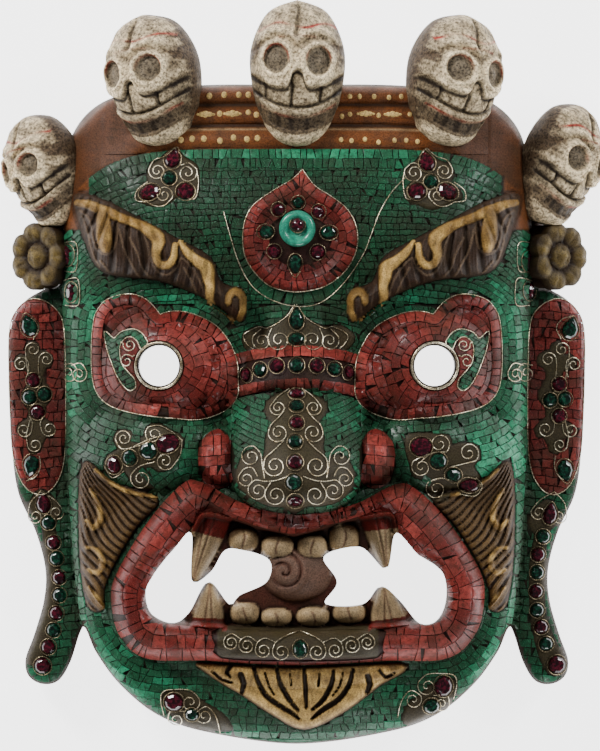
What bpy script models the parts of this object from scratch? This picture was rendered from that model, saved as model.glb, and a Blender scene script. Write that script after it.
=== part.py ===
"""A wrathful protector's dance mask, carved from wood and lying on its back rim with the face up.

X runs across the face, Y from the chin to the crown, Z out of the face, and the rim stands on Z = 0.
The carving is given in shares of the mask's height: one unit is a 498th of it, a millimetre at the
real size. Walls, holes, stones and rings have sizes of their own, in metres.
"""

import math

import bmesh
import bpy
import numpy as np
from mathutils import Matrix, Vector
from mathutils.bvhtree import BVHTree
from mathutils.geometry import delaunay_2d_cdt

# Driving dimensions, in metres
MASK_HEIGHT = 0.498          # chin to the top of the middle skull
RELIEF_DEPTH = 0.160         # back rim to the tip of the nose
WALL = 0.019                 # wood between the face and the hollow behind it
RIM_WIDTH = 0.013            # flat rim that the mask lies on
RIM_SLOPE = 0.024            # run over which the hollow rises from the rim
EAR_BACK = 0.013             # back of the ears above the rim
EAR_THICKNESS = 0.019
EYE_HOLE_RADIUS = 0.0136
RING_WIRE = 0.0015           # radius of the brass wire round each eye hole
STONE_RADIUS = 0.0050        # an ordinary round stone
STONE_RISE = 0.0032          # height of an ordinary stone
DISC_RADIUS = 0.0115         # turquoise disc of the third eye
DISC_RISE = 0.0050
BEAD_RADIUS = 0.0048
CLEARANCE = 0.0003           # under each set piece

UNIT = MASK_HEIGHT / 498
RISE = RELIEF_DEPTH / 160
FINE = 7.6                   # spacing of the points on the carved parts, in units
FEATURE = 4.3                # and along the edges of the carved forms
COARSE = 15.0                # and on the plain parts
BACK_STEP = 19.0             # and inside the hollow

# Heights of the bare head along its middle line, from chin to crown
HEAD = [(-262, 58), (-235, 74), (-205, 84), (-165, 90), (-120, 94), (-60, 97), (0, 97), (50, 101),
        (92, 106), (125, 101), (152, 90), (180, 82), (215, 72)]
HEAD_HALF_WIDTH = 161
HEAD_SIDE = 24
HEAD_ROUNDNESS = 2.5

# Right half of the outline, top to bottom; the left half mirrors it
CROWN_EDGE = [(0, 193), (60, 193), (104, 189.5), (130, 182), (147, 167), (155, 146), (158, 110)]
EAR_EDGE = [(159, 64), (170, 57), (184, 48), (192.5, 32), (194.5, 0), (192.5, -46), (188, -80), (176, -107),
            (169.5, -132), (170.5, -153), (177, -176), (183, -193), (181, -204), (172, -209.5), (161, -207.5),
            (153, -195)]
JAW_EDGE = [(143.5, -170), (134, -188), (118, -209), (93, -229), (60, -240.5), (0, -248.5)]
EAR_ROOT = [(158, 70), (156, 10), (153.5, -60), (150, -120), (143.5, -170)]
BROW_EDGE = [(149.5, 119), (128, 115.5), (105, 103.5), (80, 90), (58, 77.5), (50, 61), (36, 55), (33.5, 45),
             (37, 34), (58, 48), (90, 61), (128, 67), (141, 86)]
EYE_EDGE = [(91, 41), (74, 42.5), (52, 30), (41, 6), (43, -17), (60, -28), (90, -30), (124, -20),
            (137, 2), (136, 34), (123, 52), (104, 53)]
THIRD_EYE_EDGE = [(0, 135), (18, 121.5), (34, 104), (36, 83), (24, 62), (0, 53.5), (-24, 62), (-36, 83),
                  (-34, 104), (-18, 121.5)]
LIP_OUTER = [(0, -93), (-34, -87), (-64, -72.5), (-76, -74), (-98, -98), (-119, -132), (-123.5, -150),
             (-118, -175), (-100, -190), (-60, -191), (0, -193.5), (60, -191), (100, -190), (119, -174),
             (125, -150), (121, -130), (100, -98), (80, -78), (66, -74), (36, -88)]
LIP_INNER = [(0, -106), (-24, -101.5), (-60, -92), (-72, -107), (-92, -128), (-101, -149), (-96, -163),
             (-75, -168), (0, -171), (75, -168), (96, -163), (101, -149), (94, -129), (70, -113), (62, -92),
             (26, -99)]
LEFT_GAP = [(-70, -106), (-82, -117), (-98, -138), (-101, -149), (-97, -161), (-83, -167), (-72, -160),
            (-59, -139), (-45, -154), (-38, -148), (-20, -139), (-18, -124.5), (-36, -117.5), (-48, -118),
            (-57, -132), (-69.5, -138)]
RIGHT_GAP = [(66, -106), (81, -120.5), (97, -132), (100, -150), (94, -165), (82, -167), (69, -152),
             (56, -142), (44, -154), (19, -153.5), (27, -139), (18, -122), (42, -115.5), (59.5, -130)]
BEARD_EDGE = [(143, -60), (121, -73), (92, -84), (108, -105), (127, -140), (129, -158), (141, -154), (146, -110)]

CHIN_LOCK_EDGE = [(0, -195), (40, -194), (68, -194), (56, -210), (28, -226), (4, -237)]

# Combed locks: pitch and depth of the strands, and their direction down the right side, in degrees
BROW_LOCKS = (10.5, 2.4, -62)
BEARD_LOCKS = (11.5, 2.4, -80)

# Rounded forms on the head: middle, half width, half height, rise; each is on both sides of the face
EYEBALL = (91.5, 5, 37, 37, 19)
NOSTRIL = (50, -55, 15, 21, 27)
CHEEK = (99, -50, 46, 30, 17)
BROW_KNOB = (39, 47, 10, 11, 6)
MUZZLE = (0, -132, 140, 78, 15)
CHIN = (0, -213, 74, 34, 8)

NOSE_LINE = [(60, 0), (34, 5), (15, 12), (-12, 26), (-40, 46), (-62, 60), (-76, 63), (-86, 55), (-94, 22), (-99, 0)]
NOSE_WIDTH = [(60, 10), (28, 22), (0, 36), (-24, 46), (-60, 47), (-80, 40), (-94, 22), (-99, 14)]
BRIDGE_BAND = (4, 0.0035, 14, 62, 8)   # height up the face, droop, half height, half width, rise
MOUTH_DEPTH = 15
LIP_RISE = 15
LIP_HALF_WIDTH = 12

# Teeth: middle, half width, half height, rise
TEETH = [(-36, -109, 11, 9.5, 14), (-12.5, -115, 12, 9, 15), (12, -115, 11.5, 9, 15), (32, -110, 10, 9.5, 14),
         (-36, -161.5, 10.5, 9, 14), (-13.5, -164.5, 11.5, 8, 15), (11, -164, 12, 8, 15), (35, -161, 11.5, 9, 14)]
# Fangs: root, tip, half width at the root, rise
FANGS = [(-58, -92, -69, -138, 12, 17), (55, -92, 60, -130, 14, 17), (-60, -170, -58, -139, 12, 14),
         (63, -170, 56, -142, 15, 14)]
TONGUE = (0, -133, 24, 19, 15)

# Mouldings round the crown between the skulls: lower edge, upper edge, rise
MOULDINGS = [(150, 164, 4), (166, 178, 3.5), (180, 194, 4)]
MOULDING_REACH = 112

# Skulls: middle, half width, half height, half depth, height above the rim, turn, tilt in degrees
SKULLS = {
    "middle": (0.5, 199.5, 32, 49.5, 32, 82, 0, 0),
    "left": (-94, 195.5, 31, 44.5, 32, 77, -30, 9),
    "right": (103.5, 195.5, 31, 44.5, 32, 77, 30, -9),
    "far_left": (-167.5, 136.5, 26.5, 38.5, 24.5, 44, -48, 18),
    "far_right": (175.5, 140.5, 27, 42, 25, 44, 48, -18),
}
SKULL_EDGE = [(0, 1), (0.62, 0.83), (0.97, 0.35), (0.95, -0.15), (0.74, -0.62), (0.4, -0.94), (0, -1),
              (-0.4, -0.94), (-0.74, -0.62), (-0.95, -0.15), (-0.97, 0.35), (-0.62, 0.83)]
SKULL_SOCKET = (0.43, 0.17, 0.27, 0.19, 0.34)    # middle, half width, half height, depth
SKULL_NOSE = (0, -0.1, 0.13, 0.12, 0.2)
SKULL_GRIN = (-0.36, 0.3, 0.86, 0.17, 0.13)      # height, curl, half width, half height, rise of the teeth
SKULL_TEETH = 6

# Flower bosses above the ears: middle, height above the rim, turn in degrees
BOSSES = {"left": (-170, 78.5, 41, -38), "right": (173, 78.5, 41, 38)}
BOSS_RADIUS = 23
BOSS_BACK = 12
BOSS_PETALS = 7

# Set stones: middle, width and height in ordinary stones, turn in degrees, colour
STONES = {
    "third_eye": [(1, 113.5, 0.9, 0.85, 0, "green"), (-12.2, 108.8, 0.92, 0.92, 0, "red"),
                  (14.6, 107.4, 0.92, 0.92, 0, "red"), (-20.6, 94, 1.15, 0.95, 0, "green"),
                  (21.4, 93.4, 1.2, 0.95, 0, "green"), (-15, 81, 0.95, 0.95, 0, "red"),
                  (14, 80.5, 1, 1, 0, "red"), (-1, 72.5, 0.95, 1.4, 0, "green")],
    "bridge": [(-33.5, -1.2, 0.72, 1.05, 20, "red"), (-24.3, 2.4, 0.93, 1, 0, "green"),
               (-13.3, 5, 1, 1, 0, "red"), (0, 5.4, 1.05, 1.05, 0, "green"), (13.4, 5, 1, 1, 0, "red"),
               (25.2, 3, 0.95, 0.95, 0, "green"), (34.4, 0.6, 0.72, 1, -16, "red")],
    "nose": [(0, 35.6, 1, 1.45, 0, "green"), (0, 22.6, 1.2, 0.9, 0, "green"), (0, -13.6, 1.1, 0.7, 0, "red"),
             (0, -21.6, 1, 0.85, 0, "green"), (0, -32.6, 1, 1, 0, "red"), (-1, -45, 1, 1, 0, "green"),
             (-1, -58.4, 1.08, 1.08, 0, "red"), (-2, -71.6, 1.1, 1.1, 0, "green"), (-1, -84, 1.1, 0.95, 0, "red")],
    "forehead_left": [(-82.5, 142.5, 1.15, 1.35, -20, "red"), (-84.8, 130, 1, 1, 0, "green"),
                      (-98, 120.5, 1.5, 1.1, 20, "red"), (-74, 121, 1.3, 1.2, 0, "red")],
    "forehead_right": [(86.8, 140.5, 1.15, 1.35, 12, "red"), (89.4, 127.5, 1, 1, 0, "green"),
                       (80, 121, 1.3, 1.2, 0, "red"), (100.5, 121, 1.5, 1.15, -24, "red")],
    "cheek_left": [(-85.6, -46.6, 1.7, 1.3, 20, "red"), (-98.4, -51.3, 1.2, 1.2, 0, "green"),
                   (-111, -56.2, 1.05, 1.1, 0, "green"), (-121.6, -61, 1.1, 1.25, 0, "red")],
    "cheek_right": [(82.6, -48.8, 1.55, 1.35, 0, "red"), (94, -58.2, 1.2, 1.15, 0, "green"),
                    (104.2, -67.6, 1.2, 1, -20, "green"), (114.6, -74.6, 1.5, 1, -6, "red")],
    "lip": [(2.4, -182.6, 1, 1.25, 0, "green")],
    "chin": [(-82, -219.6, 1.4, 1.3, 0, "red"), (-70, -228, 1, 0.9, 0, "green"), (98, -209, 1.3, 1.5, 0, "red"),
             (90, -222.4, 1.2, 1.1, 0, "green")],
}
THIRD_EYE_DISC = (0.4, 96)

COLOURS = {
    "inlaid_wood": ((0.05, 0.14, 0.09), 0.5, 0.0),
    "green_stone": ((0.01, 0.07, 0.045), 0.12, 0.0),
    "red_stone": ((0.13, 0.01, 0.03), 0.12, 0.0),
    "turquoise": ((0.06, 0.38, 0.27), 0.3, 0.0),
    "brass": ((0.72, 0.58, 0.34), 0.35, 1.0),
}


def material(name):
    colour, roughness, metallic = COLOURS[name]
    made = bpy.data.materials.get(name) or bpy.data.materials.new(name)
    made.use_nodes = True
    shader = made.node_tree.nodes["Principled BSDF"]
    shader.inputs["Base Color"].default_value = (*colour, 1)
    shader.inputs["Roughness"].default_value = roughness
    shader.inputs["Metallic"].default_value = metallic
    return made


def add_object(name, mesh, finish, parent):
    mesh.materials.append(material(finish))
    made = bpy.data.objects.new(name, mesh)
    bpy.context.collection.objects.link(made)
    made.parent = parent
    return made


# Curves

def smooth_curve(points, closed, step):
    """Points about a step apart on a smooth curve through the given ones."""
    given = np.array(points, float)
    count = len(given)
    curve = []
    for i in range(count if closed else count - 1):
        if closed:
            a, b, c, d = (given[(i + k) % count] for k in (-1, 0, 1, 2))
        else:
            a, b, c, d = (given[min(max(i + k, 0), count - 1)] for k in (-1, 0, 1, 2))
        pieces = max(1, round(np.linalg.norm(c - b) / step))
        for k in range(pieces):
            t = k / pieces
            curve.append(0.5 * (2 * b + (c - a) * t + (2 * a - 5 * b + 4 * c - d) * t ** 2
                                + (3 * b - a - 3 * c + d) * t ** 3))
    if not closed:
        curve.append(given[-1])
    return np.array(curve)


def profile(points, at):
    """A smooth height profile read at the given places; the points run either way."""
    curve = smooth_curve(points, False, 2.0)
    curve = curve[np.argsort(curve[:, 0])]
    return np.interp(at, curve[:, 0], curve[:, 1])


def mirrored(right_half):
    """A closed outline from its right half, whose ends are on the middle line."""
    return right_half + [(-x, y) for x, y in reversed(right_half) if x > 0.01]


def depth_inside(outline, places):
    """Distance of each place from a closed outline: positive inside it, negative outside."""
    start = outline
    run = np.roll(outline, -1, axis=0) - start
    nearest = np.full(len(places), 1e9)
    inside = np.zeros(len(places), bool)
    for (x, y), (dx, dy) in zip(start, run):
        along = ((places[:, 0] - x) * dx + (places[:, 1] - y) * dy) / max(dx * dx + dy * dy, 1e-12)
        along = np.clip(along, 0, 1)
        nearest = np.minimum(nearest, np.hypot(places[:, 0] - x - along * dx, places[:, 1] - y - along * dy))
        crosses = (y > places[:, 1]) != (y + dy > places[:, 1])
        if abs(dy) > 1e-12:
            inside ^= crosses & (places[:, 0] < x + (places[:, 1] - y) / dy * dx)
    return np.where(inside, nearest, -nearest)


def ease(value):
    value = np.clip(value, 0, 1)
    return value * value * (3 - 2 * value)


def round_over(value):
    """Rises like a quarter circle from 0 to 1 and stays there."""
    return np.sqrt(np.clip(1 - (1 - np.clip(value, 0, 1)) ** 2, 0, 1))


def mound(form, places):
    """A rounded form on each side of the face."""
    x, y, half_width, half_height, rise = form
    reach = ((np.abs(places[:, 0]) - x) / half_width) ** 2 + ((places[:, 1] - y) / half_height) ** 2
    return rise * np.clip(1 - reach, 0, 1) ** 0.75


OUTLINE = smooth_curve(mirrored(CROWN_EDGE + EAR_EDGE + JAW_EDGE), True, 9)
HEAD_OUTLINE = smooth_curve(mirrored(CROWN_EDGE + EAR_ROOT + JAW_EDGE[1:]), True, 9)
BROW = smooth_curve(BROW_EDGE, True, 8)
EYE = smooth_curve(EYE_EDGE, True, 8)
THIRD_EYE = smooth_curve(THIRD_EYE_EDGE, True, 8)
OUTER_LIP = smooth_curve(LIP_OUTER, True, 8)
INNER_LIP = smooth_curve(LIP_INNER, True, 7)
BEARD = smooth_curve(BEARD_EDGE, True, 10)
CHIN_LOCK = smooth_curve(mirrored(CHIN_LOCK_EDGE), True, 12)
LEFT_MOUTH = smooth_curve(LEFT_GAP, True, 7)
RIGHT_MOUTH = smooth_curve(RIGHT_GAP, True, 7)


# The head and its carving

def bare_head(places):
    across = np.clip(np.abs(places[:, 0]) / HEAD_HALF_WIDTH, 0, 1)
    crown = (1 - across ** HEAD_ROUNDNESS) ** (1 / HEAD_ROUNDNESS)
    return HEAD_SIDE + (profile(HEAD, places[:, 1]) - HEAD_SIDE) * crown


def swell(places):
    """The big forms that stand out of the head, which the hollow follows in part."""
    side = np.abs(places[:, 0])
    width = profile(NOSE_WIDTH, places[:, 1])
    nose = profile(NOSE_LINE, places[:, 1]) * np.sqrt(np.clip(1 - (side / width) ** 2, 0, 1))
    nose = np.maximum(nose, mound(NOSTRIL, places))
    return np.maximum(nose, mound(MUZZLE, places)) + mound(EYEBALL, places) + mound(CHEEK, places)


def strands(locks, places):
    """Rounded strands side by side, in a direction of their own."""
    pitch, depth, direction = locks
    turn = math.radians(direction)
    across = places[:, 1] * math.cos(turn) - places[:, 0] * math.sin(turn)
    return depth * np.cos(across * 2 * math.pi / pitch)


def strand_points(locks, outline):
    """Points on the crests and in the grooves of the strands inside an outline."""
    pitch, _, direction = locks
    turn = math.radians(direction)
    along, across = np.array((math.cos(turn), math.sin(turn))), np.array((-math.sin(turn), math.cos(turn)))
    low, high = (outline @ np.column_stack((along, across))).min(0), (outline @ np.column_stack((along, across))).max(0)
    points = [a * along + row * pitch / 2 * across
              for row in range(math.ceil(low[1] * 2 / pitch), math.floor(high[1] * 2 / pitch) + 1)
              for a in np.arange(low[0], high[0], pitch)]
    points = np.array(points)
    return points[depth_inside(outline, points) > 1.5]


def tooth_rise(places):
    rise = np.zeros(len(places))
    for x, y, half_width, half_height, height in TEETH:
        across = np.clip(1 - ((places[:, 0] - x) / half_width) ** 4, 0, 1)
        along = np.clip(1 - ((places[:, 1] - y) / half_height) ** 4, 0, 1)
        rise = np.maximum(rise, height * np.sqrt(across * along))
    for root_x, root_y, tip_x, tip_y, half_width, height in FANGS:
        run = np.array((tip_x - root_x, tip_y - root_y))
        length = np.hypot(*run)
        offset = places - (root_x, root_y)
        along = offset @ run / length ** 2
        across = np.abs(offset @ np.array((-run[1], run[0]))) / length
        taper = half_width * np.clip(1.08 - along, 0.02, 1) ** 0.6
        inside = (along > -0.1) & (along < 1.05)
        rise = np.maximum(rise, np.where(inside, height * np.sqrt(np.clip(1 - (across / taper) ** 2, 0, 1)), 0))
    x, y, half_width, half_height, height = TONGUE
    reach = ((places[:, 0] - x) / half_width) ** 2 + ((places[:, 1] - y) / half_height) ** 2
    return np.maximum(rise, height * np.sqrt(np.clip(1 - reach, 0, 1)))


def carving(places):
    """Height of the carving above the swollen head."""
    side = np.column_stack((np.abs(places[:, 0]), places[:, 1]))
    band_height = places[:, 1] + 26 * (side[:, 0] / 146) ** 6
    rise = np.zeros(len(places))
    for low, high, height in MOULDINGS:
        across = np.clip((band_height - low) / (high - low), 0, 1)
        fade = ease((MOULDING_REACH + 16 - side[:, 0]) / 16)
        rise += height * np.sin(math.pi * across) ** 0.7 * fade
    brow = depth_inside(BROW, side)
    rise += 14 * round_over(brow / 15) + mound(BROW_KNOB, places) * (brow > 0)
    rise += strands(BROW_LOCKS, side) * ease(brow / 5)
    pouch = depth_inside(EYE, side)
    rise += 6 * round_over(pouch / 7)
    third = depth_inside(THIRD_EYE, places)
    rise += 5 * round_over(third / 4) - 6 * ease((third - 5) / 10)
    height, droop, half_height, half_width, band_rise = BRIDGE_BAND
    offset = (places[:, 1] - height + droop * side[:, 0] ** 2) / half_height
    fade = ease((half_width - side[:, 0]) / 8)
    rise += band_rise * np.sqrt(np.clip(1 - offset ** 2, 0, 1)) * fade
    outer = depth_inside(OUTER_LIP, places)
    inner = depth_inside(INNER_LIP, places)
    in_lip = np.minimum(outer, -inner)
    rise += LIP_RISE * round_over(in_lip / LIP_HALF_WIDTH)
    rise -= MOUTH_DEPTH * ease(inner / 4)
    rise += np.where(inner > -3, tooth_rise(places), 0)
    beard = depth_inside(BEARD, side)
    rise += 6 * round_over(beard / 6) + strands(BEARD_LOCKS, side) * ease(beard / 4)
    chin_lock = depth_inside(CHIN_LOCK, side)
    rise += 5 * round_over(chin_lock / 5)
    return rise + mound(CHIN, places)


def ear_front(places):
    side = np.abs(places[:, 0])
    edge = depth_inside(OUTLINE, places)
    slab = EAR_BACK / RISE + EAR_THICKNESS / RISE
    return slab - 7 * (1 - round_over(edge / 9)) + 0.12 * (194 - side)


def front(places):
    """Height of the face above the rim."""
    places = np.atleast_2d(places)
    head = bare_head(places) + swell(places) + carving(places)
    edge = depth_inside(HEAD_OUTLINE, places)
    head -= 11 * (1 - round_over(edge / 11))
    ear = ear_front(places)
    return np.where(edge > -0.5, np.maximum(head, ear), ear)


def back(places):
    """Height of the back: the rim, the hollow behind the face, and the backs of the ears."""
    places = np.atleast_2d(places)
    edge = depth_inside(HEAD_OUTLINE, places)
    hollow = bare_head(places) + 0.72 * swell(places) - WALL / RISE
    inside = ease((edge - RIM_WIDTH / UNIT) / (RIM_SLOPE / UNIT)) * hollow
    outside = EAR_BACK / RISE * ease((-edge - 1) / 5)
    return np.where(edge > 0, inside, outside)


# Solids between a front and a back that share their edges

def lattice(low, high, step):
    """Staggered rows of points over a box."""
    rows = np.arange(low[1], high[1], step * math.sqrt(3) / 2)
    return np.array([(x + (step / 2 if i % 2 else 0), y)
                     for i, y in enumerate(rows) for x in np.arange(low[0], high[0], step)])


def thin_out(points, kept, spacing):
    """The points that are at least a spacing away from the kept ones and from each other."""
    chosen = [tuple(p) for p in kept]
    given = len(chosen)
    grid = {}
    for p in chosen:
        grid.setdefault((int(p[0] // spacing), int(p[1] // spacing)), []).append(p)
    for p in points:
        cell = (int(p[0] // spacing), int(p[1] // spacing))
        near = [q for i in (-1, 0, 1) for j in (-1, 0, 1) for q in grid.get((cell[0] + i, cell[1] + j), [])]
        if all(math.hypot(p[0] - q[0], p[1] - q[1]) >= spacing for q in near):
            chosen.append(tuple(p))
            grid.setdefault(cell, []).append(tuple(p))
    return np.array(chosen[given:]).reshape(-1, 2)


def sheet(loops, inner_points):
    """Triangles between closed loops: points, with the loops' own first, and faces."""
    points = np.vstack([*loops, inner_points]) if len(inner_points) else np.vstack(loops)
    edges = []
    start = 0
    for loop in loops:
        count = len(loop)
        edges += [(start + i, start + (i + 1) % count) for i in range(count)]
        start += count
    corners, _, faces, origins, _, _ = delaunay_2d_cdt([Vector(p) for p in points], edges, [], 0, 1e-5)
    centres = np.array([sum((corners[i] for i in face), Vector((0, 0))) / 3 for face in faces])
    keep = depth_inside(loops[0], centres) > 0
    for hole in loops[1:]:
        keep &= depth_inside(hole, centres) < 0
    original = [min(origin) for origin in origins]
    return points, [[original[i] for i in face] for face, kept in zip(faces, keep) if kept]


def relief_solid(name, loops, front_points, front_height, back_points, back_height, scale):
    """A closed mesh whose front and back follow two height functions."""
    front_places, front_faces = sheet(loops, front_points)
    back_places, back_faces = sheet(loops, back_points)
    tall = np.column_stack((front_places, front_height(front_places)))
    low = np.column_stack((back_places, back_height(back_places)))
    shell = bmesh.new()
    tops = [shell.verts.new(p * scale) for p in tall]
    bases = [shell.verts.new(p * scale) for p in low]
    for face in front_faces:
        shell.faces.new([tops[i] for i in face])
    for face in back_faces:
        shell.faces.new([bases[i] for i in reversed(face)])
    start = 0
    for loop in loops:
        for i in range(len(loop)):
            a, b = start + i, start + (i + 1) % len(loop)
            shell.faces.new((tops[a], bases[a], bases[b], tops[b]))
        start += len(loop)
    bmesh.ops.recalc_face_normals(shell, faces=shell.faces)
    bmesh.ops.triangulate(shell, faces=[f for f in shell.faces if len(f.verts) > 3])
    mesh = bpy.data.meshes.new(name)
    shell.to_mesh(mesh)
    shell.free()
    return mesh


def ring_of(x, y, half_width, half_height, count):
    angles = np.arange(count) * 2 * math.pi / count
    return np.column_stack((x + half_width * np.cos(angles), y + half_height * np.sin(angles)))


def mask_shell():
    """The head, face and ears in one, open at the eyes and the mouth."""
    hole = EYE_HOLE_RADIUS / UNIT
    x, y = EYEBALL[:2]
    loops = [OUTLINE, ring_of(-x, y, hole, hole, 18), ring_of(x, y, hole, hole, 18), LEFT_MOUTH, RIGHT_MOUTH]
    features = [ring_of(side * x, y, hole + 5, hole + 5, 16) for side in (-1, 1)]
    for outline in (BROW, EYE, BEARD):
        features += [outline, outline * (-1, 1)]
    features += [THIRD_EYE, OUTER_LIP, INNER_LIP]
    for locks, outline in ((BROW_LOCKS, BROW), (BEARD_LOCKS, BEARD)):
        points = strand_points(locks, outline)
        features = [points, points * (-1, 1)] + features
    features.append(CHIN_LOCK)
    for inset in (0, 5, 13):
        root = smooth_curve(EAR_ROOT, False, 12) - (inset, 0)
        features += [root, root * (-1, 1)]
    for tooth_x, tooth_y, half_width, half_height, _ in TEETH:
        corners = ring_of(0, 0, 1, 1, 8)
        corners /= np.abs(corners).max(axis=1)[:, None] ** 0.5
        for share in (0.64, 1.06):
            features.append(corners * share * (half_width, half_height) + (tooth_x, tooth_y))
    for root_x, root_y, tip_x, tip_y, half_width, _ in FANGS:
        steps = np.linspace(0.05, 0.95, 6)[:, None]
        spine = np.array((root_x, root_y)) + steps * (tip_x - root_x, tip_y - root_y)
        reach = half_width * 0.8 * (1.02 - steps) ** 0.6
        features += [spine, spine + reach * (1, 0), spine - reach * (1, 0)]
    for low, high, _ in MOULDINGS:
        for level in (low, (low + high) / 2):
            across = np.arange(-150, 151, 13.0)
            features.append(np.column_stack((across, level - 26 * (np.abs(across) / 146) ** 6)))
    edges = np.vstack(loops)
    low, high = OUTLINE.min(axis=0), OUTLINE.max(axis=0)
    feature_points = thin_out(np.vstack(features), edges, FEATURE)
    grid = lattice(low, high, FINE)
    carved = (np.abs(grid[:, 0]) < 140) & (grid[:, 1] > -198) & (grid[:, 1] < 122)
    plain = lattice(low, high, COARSE)
    plain_out = ~((np.abs(plain[:, 0]) < 140) & (plain[:, 1] > -198) & (plain[:, 1] < 122))
    fine_points = thin_out(grid[carved], np.vstack((edges, feature_points)), 0.78 * FINE)
    kept = np.vstack((edges, feature_points, fine_points))
    coarse_points = thin_out(plain[plain_out], kept, 0.7 * COARSE)
    inner = np.vstack((feature_points, fine_points, coarse_points))
    inner = inner[clear_of(loops, inner, 2.5)]
    rim = smooth_curve(mirrored(CROWN_EDGE + EAR_ROOT + JAW_EDGE[1:]), True, 16)
    insets = (0, RIM_WIDTH / UNIT, (RIM_WIDTH + RIM_SLOPE / 2) / UNIT, (RIM_WIDTH + RIM_SLOPE) / UNIT)
    rim_points = thin_out(np.vstack([shrunk(rim, inset) for inset in insets]), edges, 5)
    hollow = thin_out(lattice(low, high, BACK_STEP), np.vstack((edges, rim_points)), 0.7 * BACK_STEP)
    behind = np.vstack((rim_points, hollow))
    behind = behind[clear_of(loops, behind, 3)]
    scale = np.array((UNIT, UNIT, RISE))
    return relief_solid("carved_mask", loops, inner, front, behind, back, scale)


def shrunk(outline, inset):
    """A closed outline moved inwards."""
    if inset == 0:
        return outline
    ahead = np.roll(outline, -1, axis=0) - np.roll(outline, 1, axis=0)
    inward = np.column_stack((-ahead[:, 1], ahead[:, 0]))
    inward /= np.linalg.norm(inward, axis=1)[:, None]
    probe = outline + inward * 2
    inward *= np.where(depth_inside(outline, probe) > 0, 1, -1)[:, None]
    moved = outline + inward * inset
    return moved[depth_inside(outline, moved) > 0.9 * inset]


def clear_of(loops, points, distance):
    """Which points are in the wood and not too near an edge."""
    clear = depth_inside(loops[0], points) > distance
    for hole in loops[1:]:
        clear &= depth_inside(hole, points) < -distance
    return clear


# Skulls and flower bosses

def skull_mesh(name, half_width, half_height, half_depth):
    outline = smooth_curve([(x * half_width, y * half_height) for x, y in SKULL_EDGE], True, 9)

    def egg(places):
        rows = smooth_curve(SKULL_EDGE[:7], False, 0.1)
        across = np.interp(-places[:, 1] / half_height, -rows[:, 1], rows[:, 0]) * half_width
        reach = np.clip(np.abs(places[:, 0]) / np.maximum(across, 0.01), 0, 1)
        height = np.clip(1 - (places[:, 1] / half_height) ** 2, 0, 1) ** 0.42
        return half_depth * height * np.sqrt(1 - reach ** 2)

    def face(places):
        x = np.abs(places[:, 0]) / half_width
        y = places[:, 1] / half_height
        rise = egg(places) + 2
        for form in (SKULL_SOCKET, SKULL_NOSE):
            middle, level, wide, high, deep = form
            reach = np.hypot((x - middle) / wide, (y - level) / high)
            rise -= deep * half_depth * ease((1.15 - reach) / 0.6)
        level, curl, wide, high, teeth = SKULL_GRIN
        line = level + curl * x ** 2
        inside = np.clip(1 - ((y - line) / high) ** 2, 0, 1) * (x < wide)
        rise += teeth * half_depth * np.sqrt(inside) - 0.1 * half_depth * (np.abs(y - line) < 0.03) * (x < wide)
        return rise

    def rear(places):
        return -2 - egg(places)

    x, y, wide, high, _ = SKULL_SOCKET
    features = []
    for side in (-1, 1):
        for share in (1.15, 0.55):
            features.append(ring_of(side * x * half_width, y * half_height, wide * share * half_width,
                                    high * share * half_height, 8))
    nose_x, nose_y, nose_wide, nose_high, _ = SKULL_NOSE
    features += [ring_of(nose_x, nose_y * half_height, nose_wide * share * half_width,
                         nose_high * share * half_height, 6) for share in (1.2, 0.4)]
    level, curl, grin_wide, grin_high, _ = SKULL_GRIN
    across = np.linspace(-grin_wide, grin_wide, SKULL_TEETH * 2 - 1)
    for offset in (-1.05, -0.5, 0, 0.5, 1.05):
        features.append(np.column_stack((across * half_width,
                                         (level + curl * across ** 2 + offset * grin_high) * half_height)))
    low, high_corner = outline.min(axis=0), outline.max(axis=0)
    points = thin_out(np.vstack(features), outline, 3.2)
    rest = thin_out(lattice(low, high_corner, 10), np.vstack((outline, points)), 7)
    points = np.vstack((points, rest))
    points = points[clear_of([outline], points, 2.2)]
    behind = thin_out(lattice(low, high_corner, 15), outline, 10)
    behind = behind[clear_of([outline], behind, 5)]
    return relief_solid(name, [outline], points, face, behind, rear, np.array((UNIT, UNIT, RISE)))


def boss_mesh(name):
    angles = np.arange(BOSS_PETALS * 4) * 2 * math.pi / (BOSS_PETALS * 4)

    def petal(angle):
        return np.abs(np.cos(angle * BOSS_PETALS / 2))

    outline = np.column_stack((np.cos(angles), np.sin(angles))) * (BOSS_RADIUS * (0.84 + 0.16 * petal(angles)))[:, None]

    def face(places):
        distance = np.hypot(places[:, 0], places[:, 1])
        angle = np.arctan2(places[:, 1], places[:, 0])
        petals = (3 + 4 * petal(angle)) * np.sin(np.clip((distance - 8) / (BOSS_RADIUS - 6), 0, 1) * math.pi) ** 0.6
        centre = 9 * np.sqrt(np.clip(1 - (distance / 9.5) ** 2, 0, 1))
        return 4 + np.maximum(petals, centre)

    def rear(places):
        return np.full(len(places), -float(BOSS_BACK))

    features = [np.zeros((1, 2)), ring_of(0, 0, 5.5, 5.5, 6), ring_of(0, 0, 9.5, 9.5, BOSS_PETALS * 2),
                ring_of(0, 0, 15.5, 15.5, BOSS_PETALS * 2)]
    return relief_solid(name, [outline], np.vstack(features), face, np.zeros((1, 2)), rear,
                        np.array((UNIT, UNIT, RISE)))


def placed(mesh, x, y, height, turn, tilt):
    """A carved part turned to the side, tilted in the picture plane and put on the mask."""
    turned = Matrix.Rotation(math.radians(tilt), 4, "Z") @ Matrix.Rotation(math.radians(turn), 4, "Y")
    mesh.transform(Matrix.Translation((x * UNIT, y * UNIT, height * RISE)) @ turned)
    return mesh


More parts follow.
